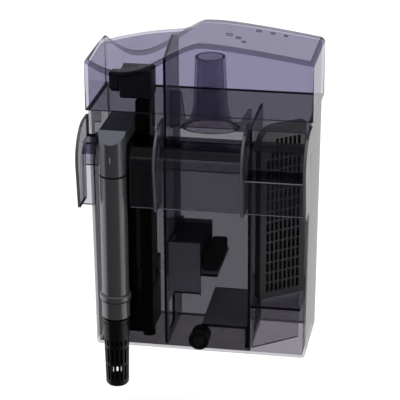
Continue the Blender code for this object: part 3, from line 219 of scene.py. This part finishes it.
def porous(name, colour, pore, depth):
    """Foam or pressed grains: rounded cells about one pore across, with painted light on their middles and painted
    shade in the hollows between them.
    """
    made, tree = new_material(name)
    out = node(tree, "ShaderNodeOutputMaterial")
    shader = node(tree, "ShaderNodeBsdfPrincipled")
    shader.inputs["Roughness"].default_value = 0.95
    place = node(tree, "ShaderNodeTexCoord")
    cells = node(tree, "ShaderNodeTexVoronoi")
    cells.inputs["Scale"].default_value = 1 / pore
    tree.links.new(place.outputs["Object"], cells.inputs["Vector"])
    mix = node(tree, "ShaderNodeMix", data_type="RGBA")
    mix.inputs["A"].default_value = (*[c * CELL_PAINTED_LIGHT for c in colour], 1)
    mix.inputs["B"].default_value = (*[c * CELL_PAINTED_SHADE for c in colour], 1)
    tree.links.new(cells.outputs["Distance"], mix.inputs["Factor"])
    tree.links.new(mix.outputs["Result"], shader.inputs["Base Color"])
    raised = node(tree, "ShaderNodeBump", invert=True)
    raised.inputs["Strength"].default_value = CELL_BUMP
    raised.inputs["Distance"].default_value = depth
    tree.links.new(cells.outputs["Distance"], raised.inputs["Height"])
    tree.links.new(raised.outputs["Normal"], shader.inputs["Normal"])
    tree.links.new(shader.outputs[0], out.inputs["Surface"])
    return made


LID_CLEAR = clear_plastic("lid_smoke", (0.49, 0.475, 0.58))
# The lid's bend, tinted darker than the lid: painted shade.
LID_BEND_SHADE = clear_plastic("lid_bend_painted_shade", (0.10, 0.09, 0.14), shine=0.2)
BODY_CLEAR = clear_plastic("body_smoke", (0.53, 0.515, 0.55), graze=0.62)
# The box's floor outside the cartridge's chamber: painted shade.
BODY_FLOOR_SHADE = clear_plastic("body_floor_painted_shade", (0.016, 0.015, 0.017), shine=0.5)
HOOK_CLEAR = clear_plastic("hook_smoke", (0.53, 0.52, 0.58), haze=0.015, graze=0.4)
# The hook's deck, darker than its sheets: painted shade.
HOOK_DECK_SHADE = clear_plastic("hook_deck_painted_shade", (0.03, 0.027, 0.045), shine=0.3)
BACK_CLEAR = clear_plastic("back_smoke", (0.175, 0.17, 0.19))
GRIP_CLEAR = clear_plastic("grip_smoke", (0.48, 0.455, 0.54), graze=0.5)
DARK_CLEAR = clear_plastic("dark_smoke", (0.16, 0.155, 0.175), haze=0.5, milk=(0.26, 0.26, 0.28))
# The narrow sides of clear sheets: dark ones in painted shade, and paler ones with painted highlights
EDGE_SHADE = solid_plastic("smoke_edge_painted_shade", (0.012, 0.009, 0.016), 0.18, bump=0.0)
# Paler rims on the hook's front sheets: painted highlights.
HIGHLIGHT_EDGE = solid_plastic("painted_highlight_edge", (0.18, 0.175, 0.205), 0.3, bump=0.0)
LOW_HIGHLIGHT_EDGE = solid_plastic("painted_low_highlight", (0.42, 0.41, 0.45), 0.3, bump=0.0)
FRONT_HIGHLIGHT_EDGE = solid_plastic("painted_front_highlight", (0.055, 0.053, 0.063), 0.3, bump=0.0)
# Single pieces
# The elbow arm's top, darker than the tube plastic: painted shade.
ARM_TOP_SHADE = solid_plastic("elbow_top_painted_shade", (0.0045, 0.004, 0.008), 0.45, bump=0.01, specular=0.15)
# The slope in front of the arm, paler than the tube plastic: painted reflection of the light overhead.
ARM_SLOPE_REFLECTION = solid_plastic("elbow_slope_painted_reflection", (0.060, 0.064, 0.080), 0.5, bump=0.01)
GRID = solid_plastic("cartridge_plastic", (0.062, 0.062, 0.060), 0.35)
PAD = porous("pad", (0.007, 0.007, 0.008), 0.0011, 0.0004)
LOOKS = {
    "smoke_clear": BODY_CLEAR,
    "dark_smoke": DARK_CLEAR,
    "tube_plastic": solid_plastic("tube_plastic", (0.027, 0.028, 0.030), 0.24, bump=0.01, coat=0.4),
    "black_plastic": solid_plastic("black_plastic", (0.0025, 0.0023, 0.003), 0.35, specular=0.2),
    "grey_plastic": solid_plastic("grey_plastic", (0.020, 0.021, 0.023), 0.4),
    "rubber": solid_plastic("rubber", (0.003, 0.003, 0.003), 0.7, specular=0.25),
    "steel": solid_plastic("steel", (0.5, 0.5, 0.51), 0.3, metallic=1.0),
    "ceramic": solid_plastic("ceramic", (0.8, 0.78, 0.75), 0.2),
    "impeller_plastic": solid_plastic("impeller_plastic", (0.06, 0.09, 0.3), 0.4),
    "foam": porous("foam", (0.014, 0.014, 0.016), 0.0012, 0.0006),
    "carbon": porous("carbon", (0.012, 0.012, 0.012), 0.0024, 0.0009),
}


# --- Pieces


def link(made, node_name, *looks):
    """The piece joins the scene, rides where the CAD node rides and takes its finish."""
    scene.collection.objects.link(made)
    made.data.materials.clear()
    for look in looks:
        made.data.materials.append(look)
    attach(made, rides[node_name])
    return made


def flat_normals(made):
    """Smooth shading in which broad flat faces stay flat."""
    made.data.shade_smooth()
    made.modifiers.new("Flat", "WEIGHTED_NORMAL")
    return made


RIM_ANGLE = math.radians(50)
RIM_SHARE = 0.45


def is_rim(face, width):
    """Whether a face is the narrow side of a sheet, with sharp edges along it."""
    if 2 * face.calc_area() / face.calc_perimeter() > width:
        return False
    along = sum(edge.calc_length() for edge in face.edges if edge.calc_face_angle(0.0) > RIM_ANGLE)
    return along > RIM_SHARE * face.calc_perimeter()


SAME_POINT = 2e-6
FLAT_ANGLE = math.radians(0.6)


def clean_copy(node_name):
    """The CAD node's shape with its flat faces merged."""
    shape = bmesh.new()
    shape.from_mesh(frame["nodes"][node_name].data)
    bmesh.ops.remove_doubles(shape, verts=shape.verts, dist=SAME_POINT)
    bmesh.ops.dissolve_limit(shape, angle_limit=FLAT_ANGLE, verts=shape.verts, edges=shape.edges)
    bmesh.ops.recalc_face_normals(shape, faces=shape.faces)
    return shape


def as_mesh(shape, name):
    mesh = bpy.data.meshes.new(name)
    shape.to_mesh(mesh)
    shape.free()
    return mesh


def linked(mesh, name, node_name, *looks):
    """The mesh as a piece that keeps the look numbers of its faces."""
    keep = [polygon.material_index for polygon in mesh.polygons]
    made = link(bpy.data.objects.new(name, mesh), node_name, *looks)
    mesh.polygons.foreach_set("material_index", keep)
    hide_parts(node_name)
    return made


def fine(node_name, rounding, look=None, rims=None, segments=2, more=(), choose=None, cuts=()):
    """The CAD node again with its edges rounded. On clear sheets the narrow sides and the rounded edges are painted
    dark, a painted shade for light that enters a sheet and is held in it; rims is the widest side that counts as
    narrow. choose
    gives each face the number of its look: the piece's own, the rims' painted shade, then those in more. cuts are
    places along X where faces are parted."""
    shape = clean_copy(node_name)
    for x in cuts:
        parts = shape.verts[:] + shape.edges[:] + shape.faces[:]
        bmesh.ops.bisect_plane(shape, geom=parts, plane_co=(x, 0, 0), plane_no=(1, 0, 0))
    for face in shape.faces:
        rim = bool(rims) and is_rim(face, rims)
        face.material_index = choose(face, rim) if choose else int(rim)
    name = node_name + "_fine"
    looks = [look or LOOKS[slots[node_name]]] + ([EDGE_SHADE] if rims else []) + list(more)
    made = linked(as_mesh(shape, name), name, node_name, *looks)
    round_off = made.modifiers.new("Round", "BEVEL")
    round_off.width = rounding
    round_off.segments = segments
    round_off.limit_method = "ANGLE"
    round_off.angle_limit = SHARP
    # Rounded edges of clear sheets take the rims' dark painted shade.
    round_off.material = 1 if rims else -1
    return flat_normals(made)


def bisected(mesh, y, keep_front):
    """The part of a closed mesh on one side of the plane across Y, closed again."""
    shape = bmesh.new()
    shape.from_mesh(mesh)
    parts = shape.verts[:] + shape.edges[:] + shape.faces[:]
    bmesh.ops.bisect_plane(
        shape, geom=parts, plane_co=(0, y, 0), plane_no=(0, 1, 0), clear_outer=keep_front, clear_inner=not keep_front
    )
    rim = [edge for edge in shape.edges if len(edge.link_faces) == 1]
    bmesh.ops.triangle_fill(shape, edges=rim, use_beauty=True)
    bmesh.ops.recalc_face_normals(shape, faces=shape.faces)
    return as_mesh(shape, "part")


FLOOR_REACH = 0.005  # faces lower than this above the box's underside belong to its floor
SEAM_INSIDE = 0.0001  # the box's two pieces meet this far in front of its back wall
HALF_SEAM = 0.00003


def make_box():
    """The filter box: clear front and sides, a back wall of denser smoke, and a floor painted dark in all but the
    cartridge's chamber, a painted shade."""
    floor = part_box("filter_body")[0].z + FLOOR_REACH
    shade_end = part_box("right_partition")[1].x

    def box_look(face, rim):
        place = face.calc_center_median()
        # Floor faces outside the cartridge's chamber take the painted shade.
        if not rim and face.normal.z > FACING_UP and place.z < floor and place.x < shade_end:
            return 2
        return int(rim)

    whole = fine(
        "filter_body", BODY_ROUNDING, rims=BOX_RIM_WIDTH, more=(BODY_FLOOR_SHADE,), choose=box_look, cuts=(shade_end,)
    )
    bpy.context.view_layer.update()
    solid = bpy.data.meshes.new_from_object(whole.evaluated_get(bpy.context.evaluated_depsgraph_get()))
    bpy.data.objects.remove(whole, do_unlink=True)
    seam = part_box("filter_body")[1].y - WALL - SEAM_INSIDE
    for name, y, keep_front, look in (
        ("filter_body_front", seam - HALF_SEAM, True, BODY_CLEAR),
        ("filter_body_back", seam + HALF_SEAM, False, BACK_CLEAR),
    ):
        flat_normals(linked(bisected(solid, y, keep_front), name, "filter_body", look, EDGE_SHADE, BODY_FLOOR_SHADE))


# --- Lid

LID_WALL = 0.0026
LID_BENDING = 0.0034  # radius of the upper edge
LID_INNER_BENDING = LID_BENDING - 0.6 * LID_WALL
BEND_SHARES = (0, 0.05, 0.15, 0.35, 0.64, 1)  # grid lines over the bend; its strips are painted darker, and the last strip is a painted dark line: painted shade
LID_COLUMNS, LID_ROWS = 90, 34
LID_ROUNDING = 0.0012  # of the upright corners
LID_CLEARANCE = 0.0003  # above the box's rim
LID_PEAK = 0.535  # the crest's place, as a share of the width
LEFT_FALL, RIGHT_FALL = 0.016, 0.0107
LEFT_BOW, RIGHT_BOW = 2.2, 1.3
RIDGE_SHARE = 0.6  # the ridge's place, as a share of the depth
FRONT_SCOOP = (0.0205, 0.5)  # depth, and length as a share of the width
BACK_SCOOP = (0.0245, 0.47)
SCOOP_LEAN, SCOOP_SHARPNESS, SCOOP_EASE = 0.75, 1.35, 0.35
lid_low, lid_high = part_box("lid")


def lid_height(x, y):
    """The lid's outer surface: an arched crest line, with a scoop in front of the ridge and one behind it."""
    along = (x - lid_low.x) / (lid_high.x - lid_low.x)
    across = (y - lid_low.y) / (lid_high.y - lid_low.y)
    if along < LID_PEAK:
        crest = lid_high.z - LEFT_FALL * (1 - along / LID_PEAK) ** LEFT_BOW
    else:
        crest = lid_high.z - RIGHT_FALL * ((along - LID_PEAK) / (1 - LID_PEAK)) ** RIGHT_BOW
    if across < RIDGE_SHARE:
        (depth, span), away = FRONT_SCOOP, 1 - across / RIDGE_SHARE
    else:
        (depth, span), away = BACK_SCOOP, (across - RIDGE_SHARE) / (1 - RIDGE_SHARE)
    reach = min(1.0, (max(0.0, along) / span) ** SCOOP_LEAN)
    scoop = max(0.0, math.sin(math.pi * reach)) ** SCOOP_SHARPNESS
    ease = away * away * (3 - 2 * away) * SCOOP_EASE + away * (1 - SCOOP_EASE)
    return crest - depth * scoop * ease


def stations(low, high, bend, count):
    """Grid lines from low to high, closer together over the bend at each end."""
    near = [bend * share for share in BEND_SHARES]
    far = high - low - 2 * bend
    middle = [low + bend + far * i / count for i in range(1, count)]
    return [low + step for step in near] + middle + [high - step for step in reversed(near)]


def lid_sheet(shape, inset, bend, bottom):
    """A grid over the lid, inset below its outer surface, that bends down at its edges into a skirt, to bottom.
    Returns the edges of its upright corners, the edges of its foot and the points of its foot."""
    x0, x1 = lid_low.x + inset, lid_high.x - inset
    y0, y1 = lid_low.y + inset, lid_high.y - inset

    def upper(x, y):
        over = math.hypot(max(0, bend - (x - x0), bend - (x1 - x)), max(0, bend - (y - y0), bend - (y1 - y)))
        return lid_height(x, y) - inset - bend + math.sqrt(bend * bend - min(over, bend) ** 2)

    across, along = stations(x0, x1, bend, LID_COLUMNS), stations(y0, y1, bend, LID_ROWS)
    top = [[shape.verts.new((x, y, upper(x, y))) for x in across] for y in along]
    steps = len(BEND_SHARES) - 1
    for j, (lower, higher) in enumerate(zip(top, top[1:])):
        for i, corners in enumerate(zip(lower, lower[1:], higher[1:], higher)):
            face = shape.faces.new(corners)
            step = min(i, j, len(across) - 2 - i, len(along) - 2 - j)
            # The outer sheet's bend is painted shade: a darker tint, and a dark line on its last strip.
            if inset == 0 and step < steps:
                face.material_index = 1 if step == steps - 1 else 2
    loop = top[0] + [row[-1] for row in top[1:-1]] + top[-1][::-1] + [row[0] for row in top[-2:0:-1]]
    foot = [shape.verts.new((vert.co.x, vert.co.y, bottom)) for vert in loop]
    turns = (0, len(across) - 1, len(across) + len(along) - 2, 2 * len(across) + len(along) - 3)
    corners, lowest = [], []
    for i, vert in enumerate(loop):
        after = (i + 1) % len(loop)
        shape.faces.new((foot[i], foot[after], loop[after], vert))
        lowest.append(shape.edges.get((foot[i], foot[after])))
        if i in turns:
            corners.append(shape.edges.get((vert, foot[i])))
    return corners, lowest, foot


def make_lid():
    """Thin shell with a rounded upper edge. Its bend is painted darker, with a dark line along the bend's top, and
    its foot
    and upright corners are dark: all painted shade.
    """
    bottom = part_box("filter_body")[1].z + LID_CLEARANCE
    shape = bmesh.new()
    weight = shape.edges.layers.float.new("bevel_weight_edge")
    corners, lowest, foot = lid_sheet(shape, 0, LID_BENDING, bottom)
    inner_corners, _, inner_foot = lid_sheet(shape, LID_WALL, LID_INNER_BENDING, bottom)
    for i in range(len(foot)):
        after = (i + 1) % len(foot)
        ring = shape.faces.new((foot[after], foot[i], inner_foot[i], inner_foot[after]))
        # The foot's ring takes the rims' dark painted shade.
        ring.material_index = 1
    bmesh.ops.recalc_face_normals(shape, faces=shape.faces)
    for edges, share in ((corners, 1.0), (lowest, 0.3), (inner_corners, 0.6)):
        for edge in edges:
            edge[weight] = share  # of the rounding
    made = linked(as_mesh(shape, "lid_fine"), "lid_fine", "lid", LID_CLEAR, EDGE_SHADE, LID_BEND_SHADE)
    round_off = made.modifiers.new("Round", "BEVEL")
    round_off.width = LID_ROUNDING
    round_off.segments = 3
    round_off.limit_method = "WEIGHT"
    round_off.use_clamp_overlap = False
    round_off.material = 1
    flat_normals(made)


def add_ring(shape, place, normal, radius, thickness, around=40, sides=10):
    """A closed ring lying on a surface joins the shape."""
    turn = Vector(normal).to_track_quat("Z", "Y").to_matrix().to_4x4()
    rows = []
    for i in range(around):
        a = 2 * math.pi * i / around
        row = []
        for j in range(sides):
            b = 2 * math.pi * j / sides
            r = radius + thickness * math.cos(b)
            flat = Vector((r * math.cos(a), r * math.sin(a), thickness * math.sin(b)))
            row.append(shape.verts.new(Matrix.Translation(place) @ turn @ flat))
        rows.append(row)
    for i in range(around):
        for j in range(sides):
            k, m = (i + 1) % around, (j + 1) % sides
            shape.faces.new((rows[i][j], rows[k][j], rows[k][m], rows[i][m]))


DROPLET_ROWS = (  # the X, Y and radius of each droplet
    ((0.0195, 0.0387, 0.0027), (0.0278, 0.0331, 0.0021), (0.0332, 0.0251, 0.0016)),
    ((0.0400, 0.0594, 0.0022), (0.0514, 0.0591, 0.0019), (0.0620, 0.0588, 0.0016)),
)
DROPLET_THICKNESS = 0.00032
DROPLET_STAND = 0.00012  # how far a ring's middle stands above the lid


def make_droplets():
    """Two rows of three embossed rings that shrink away from the crest, one row on each side of the ridge."""
    shape = bmesh.new()
    step = 0.0005
    for x, y, radius in (drop for row in DROPLET_ROWS for drop in row):
        z = lid_height(x, y)
        normal = Vector(
            (
                (lid_height(x - step, y) - lid_height(x + step, y)) / (2 * step),
                (lid_height(x, y - step) - lid_height(x, y + step)) / (2 * step),
                1,
            )
        ).normalized()
        add_ring(shape, Vector((x, y, z)) + normal * DROPLET_STAND, normal, radius, DROPLET_THICKNESS)
    mesh = as_mesh(shape, "lid_droplets")
    # The rings are painted in the rims' dark colour: painted shade.
    link(bpy.data.objects.new("lid_droplets", mesh), "lid", EDGE_SHADE)
    mesh.shade_smooth()


# --- Knobs, elbow and hook

RIB_SIZE = 0.0007


def make_ribs(node_name, axis, near, far, count):
    """Grip ribs around a knob, along its axis. They begin at near and end at far, from the knob's lowest end."""
    lowest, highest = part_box(node_name)
    along = [bool(part) for part in axis]
    centre = [0 if skip else (a + b) / 2 for skip, a, b in zip(along, lowest, highest)]
    start = sum(a for skip, a in zip(along, lowest) if skip)
    size, low, high = RIB_SIZE, start + near, start + far
    radius = (highest.y - lowest.y if axis[0] else highest.x - lowest.x) / 2
    shape = bmesh.new()
    for i in range(count):
        made = bmesh.ops.create_cube(shape, size=1.0)["verts"]
        bmesh.ops.scale(shape, vec=(size, size, high - low), verts=made)
        bmesh.ops.rotate(shape, cent=(0, 0, 0), matrix=Matrix.Rotation(math.pi / 4, 3, "Z"), verts=made)
        bmesh.ops.translate(shape, vec=(radius, 0, (low + high) / 2), verts=made)
        turn = Matrix.Rotation(2 * math.pi * i / count, 3, "Z")
        bmesh.ops.rotate(shape, cent=(0, 0, 0), matrix=turn, verts=made)
    turn = Vector(axis).to_track_quat("Z", "Y").to_matrix().to_4x4()
    bmesh.ops.transform(shape, matrix=Matrix.Translation(centre) @ turn, verts=shape.verts)
    name = node_name + "_ribs"
    link(bpy.data.objects.new(name, as_mesh(shape, name)), node_name, LOOKS[slots[node_name]])


MARK_SIZE = (0.0009, 0.0012, 0.0055)
MARK_SUNK, MARK_HEIGHT = 0.0003, 0.014


def make_elbow_mark():
    """The small raised bar on the front of the elbow's collar."""
    low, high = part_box("intake_elbow")
    place = ((low.x + high.x) / 2, low.y + MARK_SIZE[1] / 2 - MARK_SUNK, low.z + MARK_HEIGHT)
    shape = bmesh.new()
    verts = bmesh.ops.create_cube(shape, size=1.0)["verts"]
    bmesh.ops.scale(shape, vec=MARK_SIZE, verts=verts)
    bmesh.ops.translate(shape, vec=place, verts=verts)
    bmesh.ops.bevel(shape, geom=shape.edges[:], offset=MARK_SIZE[0] / 3, segments=2, affect="EDGES")
    # The bar takes the pale colour of the rims' painted highlights.
    link(bpy.data.objects.new("elbow_mark", as_mesh(shape, "elbow_mark")), "intake_elbow", HIGHLIGHT_EDGE)


DECK_SLOPE = 0.55  # least Z of the normal of a deck face
SHEET_FRONT = -0.02  # only rims in front of this Y get painted highlights


def hook_look(face, rim):
    """The number of a face's look: 0 the sheets, 1 rims in dark painted shade, 2 the deck, darker in painted shade,
    and 3 to 5 painted highlights on the rims of the front sheets: upper, lower and front ones."""
    if not rim:
        return 2 if face.normal.z > DECK_SLOPE else 0
    if face.calc_center_median().y > SHEET_FRONT:
        return 1
    if abs(face.normal.z) > 0.9:
        return 3 if face.normal.z > 0 else 4
    return 5 if face.normal.y < FACING_FRONT else 1


ARM_HEIGHT = 0.012  # the arm's top is above this Z


def elbow_look(face, rim):
    """The flat top of the arm is painted dark, a painted shade, and the slope in front of it is paler, a painted
    reflection of the light overhead.
    """
    if face.normal.z > FACING_UP and face.calc_center_median().z > ARM_HEIGHT:
        return 1
    return 2 if face.normal.z > 0.6 and face.normal.y < FACING_FRONT else 0


for name, part in frame["nodes"].items():
    part.data.materials.clear()
    part.data.materials.append(LOOKS[slots[name]])

make_box()
make_lid()
make_droplets()
fine(
    "hook_spillway",
    SHEET_ROUNDING,
    HOOK_CLEAR,
    rims=RIM_WIDTH,
    more=(HOOK_DECK_SHADE, HIGHLIGHT_EDGE, LOW_HIGHLIGHT_EDGE, FRONT_HIGHLIGHT_EDGE),
    choose=hook_look,
)
fine("cartridge_rest", SHEET_ROUNDING, BODY_CLEAR, rims=RIM_WIDTH)
fine("left_partition", SHEET_ROUNDING, rims=BOX_RIM_WIDTH)
fine("right_partition", SHEET_ROUNDING, rims=BOX_RIM_WIDTH)
fine("media_cassette", SHEET_ROUNDING, rims=RIM_WIDTH)
fine("lower_baffle", SHEET_ROUNDING, rims=RIM_WIDTH)
fine("cassette_grip", SHEET_ROUNDING, GRIP_CLEAR, rims=RIM_WIDTH)
fine("intake_elbow", 0.0007, segments=3, more=(ARM_TOP_SHADE, ARM_SLOPE_REFLECTION), choose=elbow_look)
for name in ("intake_tube", "tube_collar", "extension_tube", "strainer"):
    fine(name, THIN_ROUNDING)
for name in ("riser_column", "riser_cap", "motor_housing", "impeller_cover", "level_socket", "flow_knob"):
    fine(name, BODY_ROUNDING)
fine("level_knob", BODY_ROUNDING, LOOKS["black_plastic"])
fine("cartridge_frame", THIN_ROUNDING, GRID, segments=1)
fine("filter_sponge", PAD_ROUNDING)
fine("cartridge_pad", PAD_ROUNDING, PAD)
fine("carbon_block", 0.0006)
fine("cable_gland", SHEET_ROUNDING)
flow_low, flow_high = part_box("flow_knob")
make_ribs("level_knob", (0, 1, 0), 0.0003, 0.0028, 28)
make_ribs("flow_knob", (1, 0, 0), 0.0026, flow_high.x - flow_low.x - 0.0006, 30)
make_elbow_mark()


# --- Stage

FLOOR_Z = cad_low.z - 0.05
FLOOR_SIZE = 6.0
FLOOR_GLOW = 0.72  # keeps the pale floor even, with only a faint shadow
BACKDROP_LIGHT, EVEN_LIGHT = 1.0, 0.35  # what the camera sees, and what falls on the object


def make_floor():
    """A plain white floor, a little below the object."""
    shape = bmesh.new()
    bmesh.ops.create_grid(shape, x_segments=1, y_segments=1, size=FLOOR_SIZE)
    floor = bpy.data.objects.new("floor", as_mesh(shape, "floor"))
    floor.location = (0, 0, FLOOR_Z)
    scene.collection.objects.link(floor)
    paint = solid_plastic("floor_paint", (0.3, 0.3, 0.3), 0.9, vary=0.01)
    shader = next(part for part in paint.node_tree.nodes if part.type == "BSDF_PRINCIPLED")
    shader.inputs["Emission Color"].default_value = (1, 1, 1, 1)
    shader.inputs["Emission Strength"].default_value = FLOOR_GLOW
    floor.data.materials.append(paint)
    floor.visible_glossy = False


def make_lamp(name, place, aim, width, height, power):
    """A soft white light that polished faces don't mirror."""
    data = bpy.data.lights.new(name, "AREA")
    data.shape = "RECTANGLE"
    data.size = width
    data.size_y = height
    data.energy = power
    lamp = bpy.data.objects.new(name, data)
    lamp.location = place
    lamp.rotation_mode = "QUATERNION"
    lamp.rotation_quaternion = (Vector(aim) - Vector(place)).to_track_quat("-Z", "Y")
    lamp.visible_glossy = False
    scene.collection.objects.link(lamp)


def background(tree, strength):
    """White light; its strength is a number or a value."""
    made = node(tree, "ShaderNodeBackground")
    made.inputs["Color"].default_value = (1, 1, 1, 1)
    if isinstance(strength, float):
        made.inputs["Strength"].default_value = strength
    else:
        tree.links.new(strength, made.inputs["Strength"])
    return made.outputs[0]


def make_world():
    """White backdrop, dim even light, and what polished faces mirror: a dark room on the camera's side, a bright
    table behind, a soft light overhead and a tall one at each side."""
    world = bpy.data.worlds.new("studio")
    world.use_nodes = True
    tree = world.node_tree
    tree.nodes.clear()
    out = node(tree, "ShaderNodeOutputWorld")
    place = node(tree, "ShaderNodeTexCoord")
    split = node(tree, "ShaderNodeSeparateXYZ")
    tree.links.new(place.outputs["Generated"], split.inputs[0])
    wide = node(tree, "ShaderNodeMath", operation="ABSOLUTE")
    tree.links.new(split.outputs["X"], wide.inputs[0])
    far = smooth_step(tree, split.outputs["Y"], 0.1, 0.75, 0.02, 1.0)
    table = smooth_step(tree, split.outputs["Z"], -0.15, 0.25, 0.85, 0.45)
    overhead = smooth_step(tree, split.outputs["Z"], 0.42, 0.8, 0.0, 0.75)
    beside = smooth_step(tree, wide.outputs[0], 0.72, 0.9, 0.0, 1.6)
    behind = combined(tree, "MULTIPLY", far, table)
    strength = combined(tree, "ADD", combined(tree, "ADD", behind, beside), overhead)
    path = node(tree, "ShaderNodeLightPath")
    even, mirrored = background(tree, EVEN_LIGHT), background(tree, strength)
    unseen = blended(tree, path.outputs["Is Glossy Ray"], even, mirrored)
    light = blended(tree, path.outputs["Is Camera Ray"], unseen, background(tree, BACKDROP_LIGHT))
    tree.links.new(light, out.inputs["Surface"])
    scene.world = world


def make_camera():
    """At the photograph's viewing angle: a little from the right, above, with a long lens."""
    turn = math.radians(10.34)
    rise = math.radians(21.64)
    roll = math.radians(-0.28)
    distance = 1.5565
    target = Vector((0.0010, 0.0065, -0.0489))
    back = Vector((math.sin(turn) * math.cos(rise), -math.cos(turn) * math.cos(rise), math.sin(rise)))
    right = (-back).cross(Vector((0, 0, 1))).normalized()
    up = right.cross(-back)
    across = right * math.cos(roll) + up * math.sin(roll)
    upright = up * math.cos(roll) - right * math.sin(roll)
    data = bpy.data.cameras.new("camera")
    data.sensor_width = 36.0
    data.lens = 174.4
    data.clip_start = 0.05
    camera = bpy.data.objects.new("camera", data)
    axes = Matrix((across, upright, back)).transposed().to_4x4()
    camera.matrix_world = Matrix.Translation(target + distance * back) @ axes
    scene.collection.objects.link(camera)
    scene.camera = camera


make_floor()
make_world()
make_camera()
make_lamp("key_right", (1.4, -0.5, 0.5), (0, 0, -0.05), 1.0, 1.2, 22)
make_lamp("fill_left", (-1.5, -0.6, 0.6), (0, 0, -0.05), 0.6, 1.2, 10)
make_lamp("top", (0.0, 0.1, 1.6), (0, 0, 0), 1.4, 1.4, 22)
make_lamp("back", (0.0, 1.8, 0.8), (0, 0, -0.05), 2.0, 1.4, 20)
scene.view_settings.view_transform = "Standard"
scene.cycles.transparent_max_bounces = 64
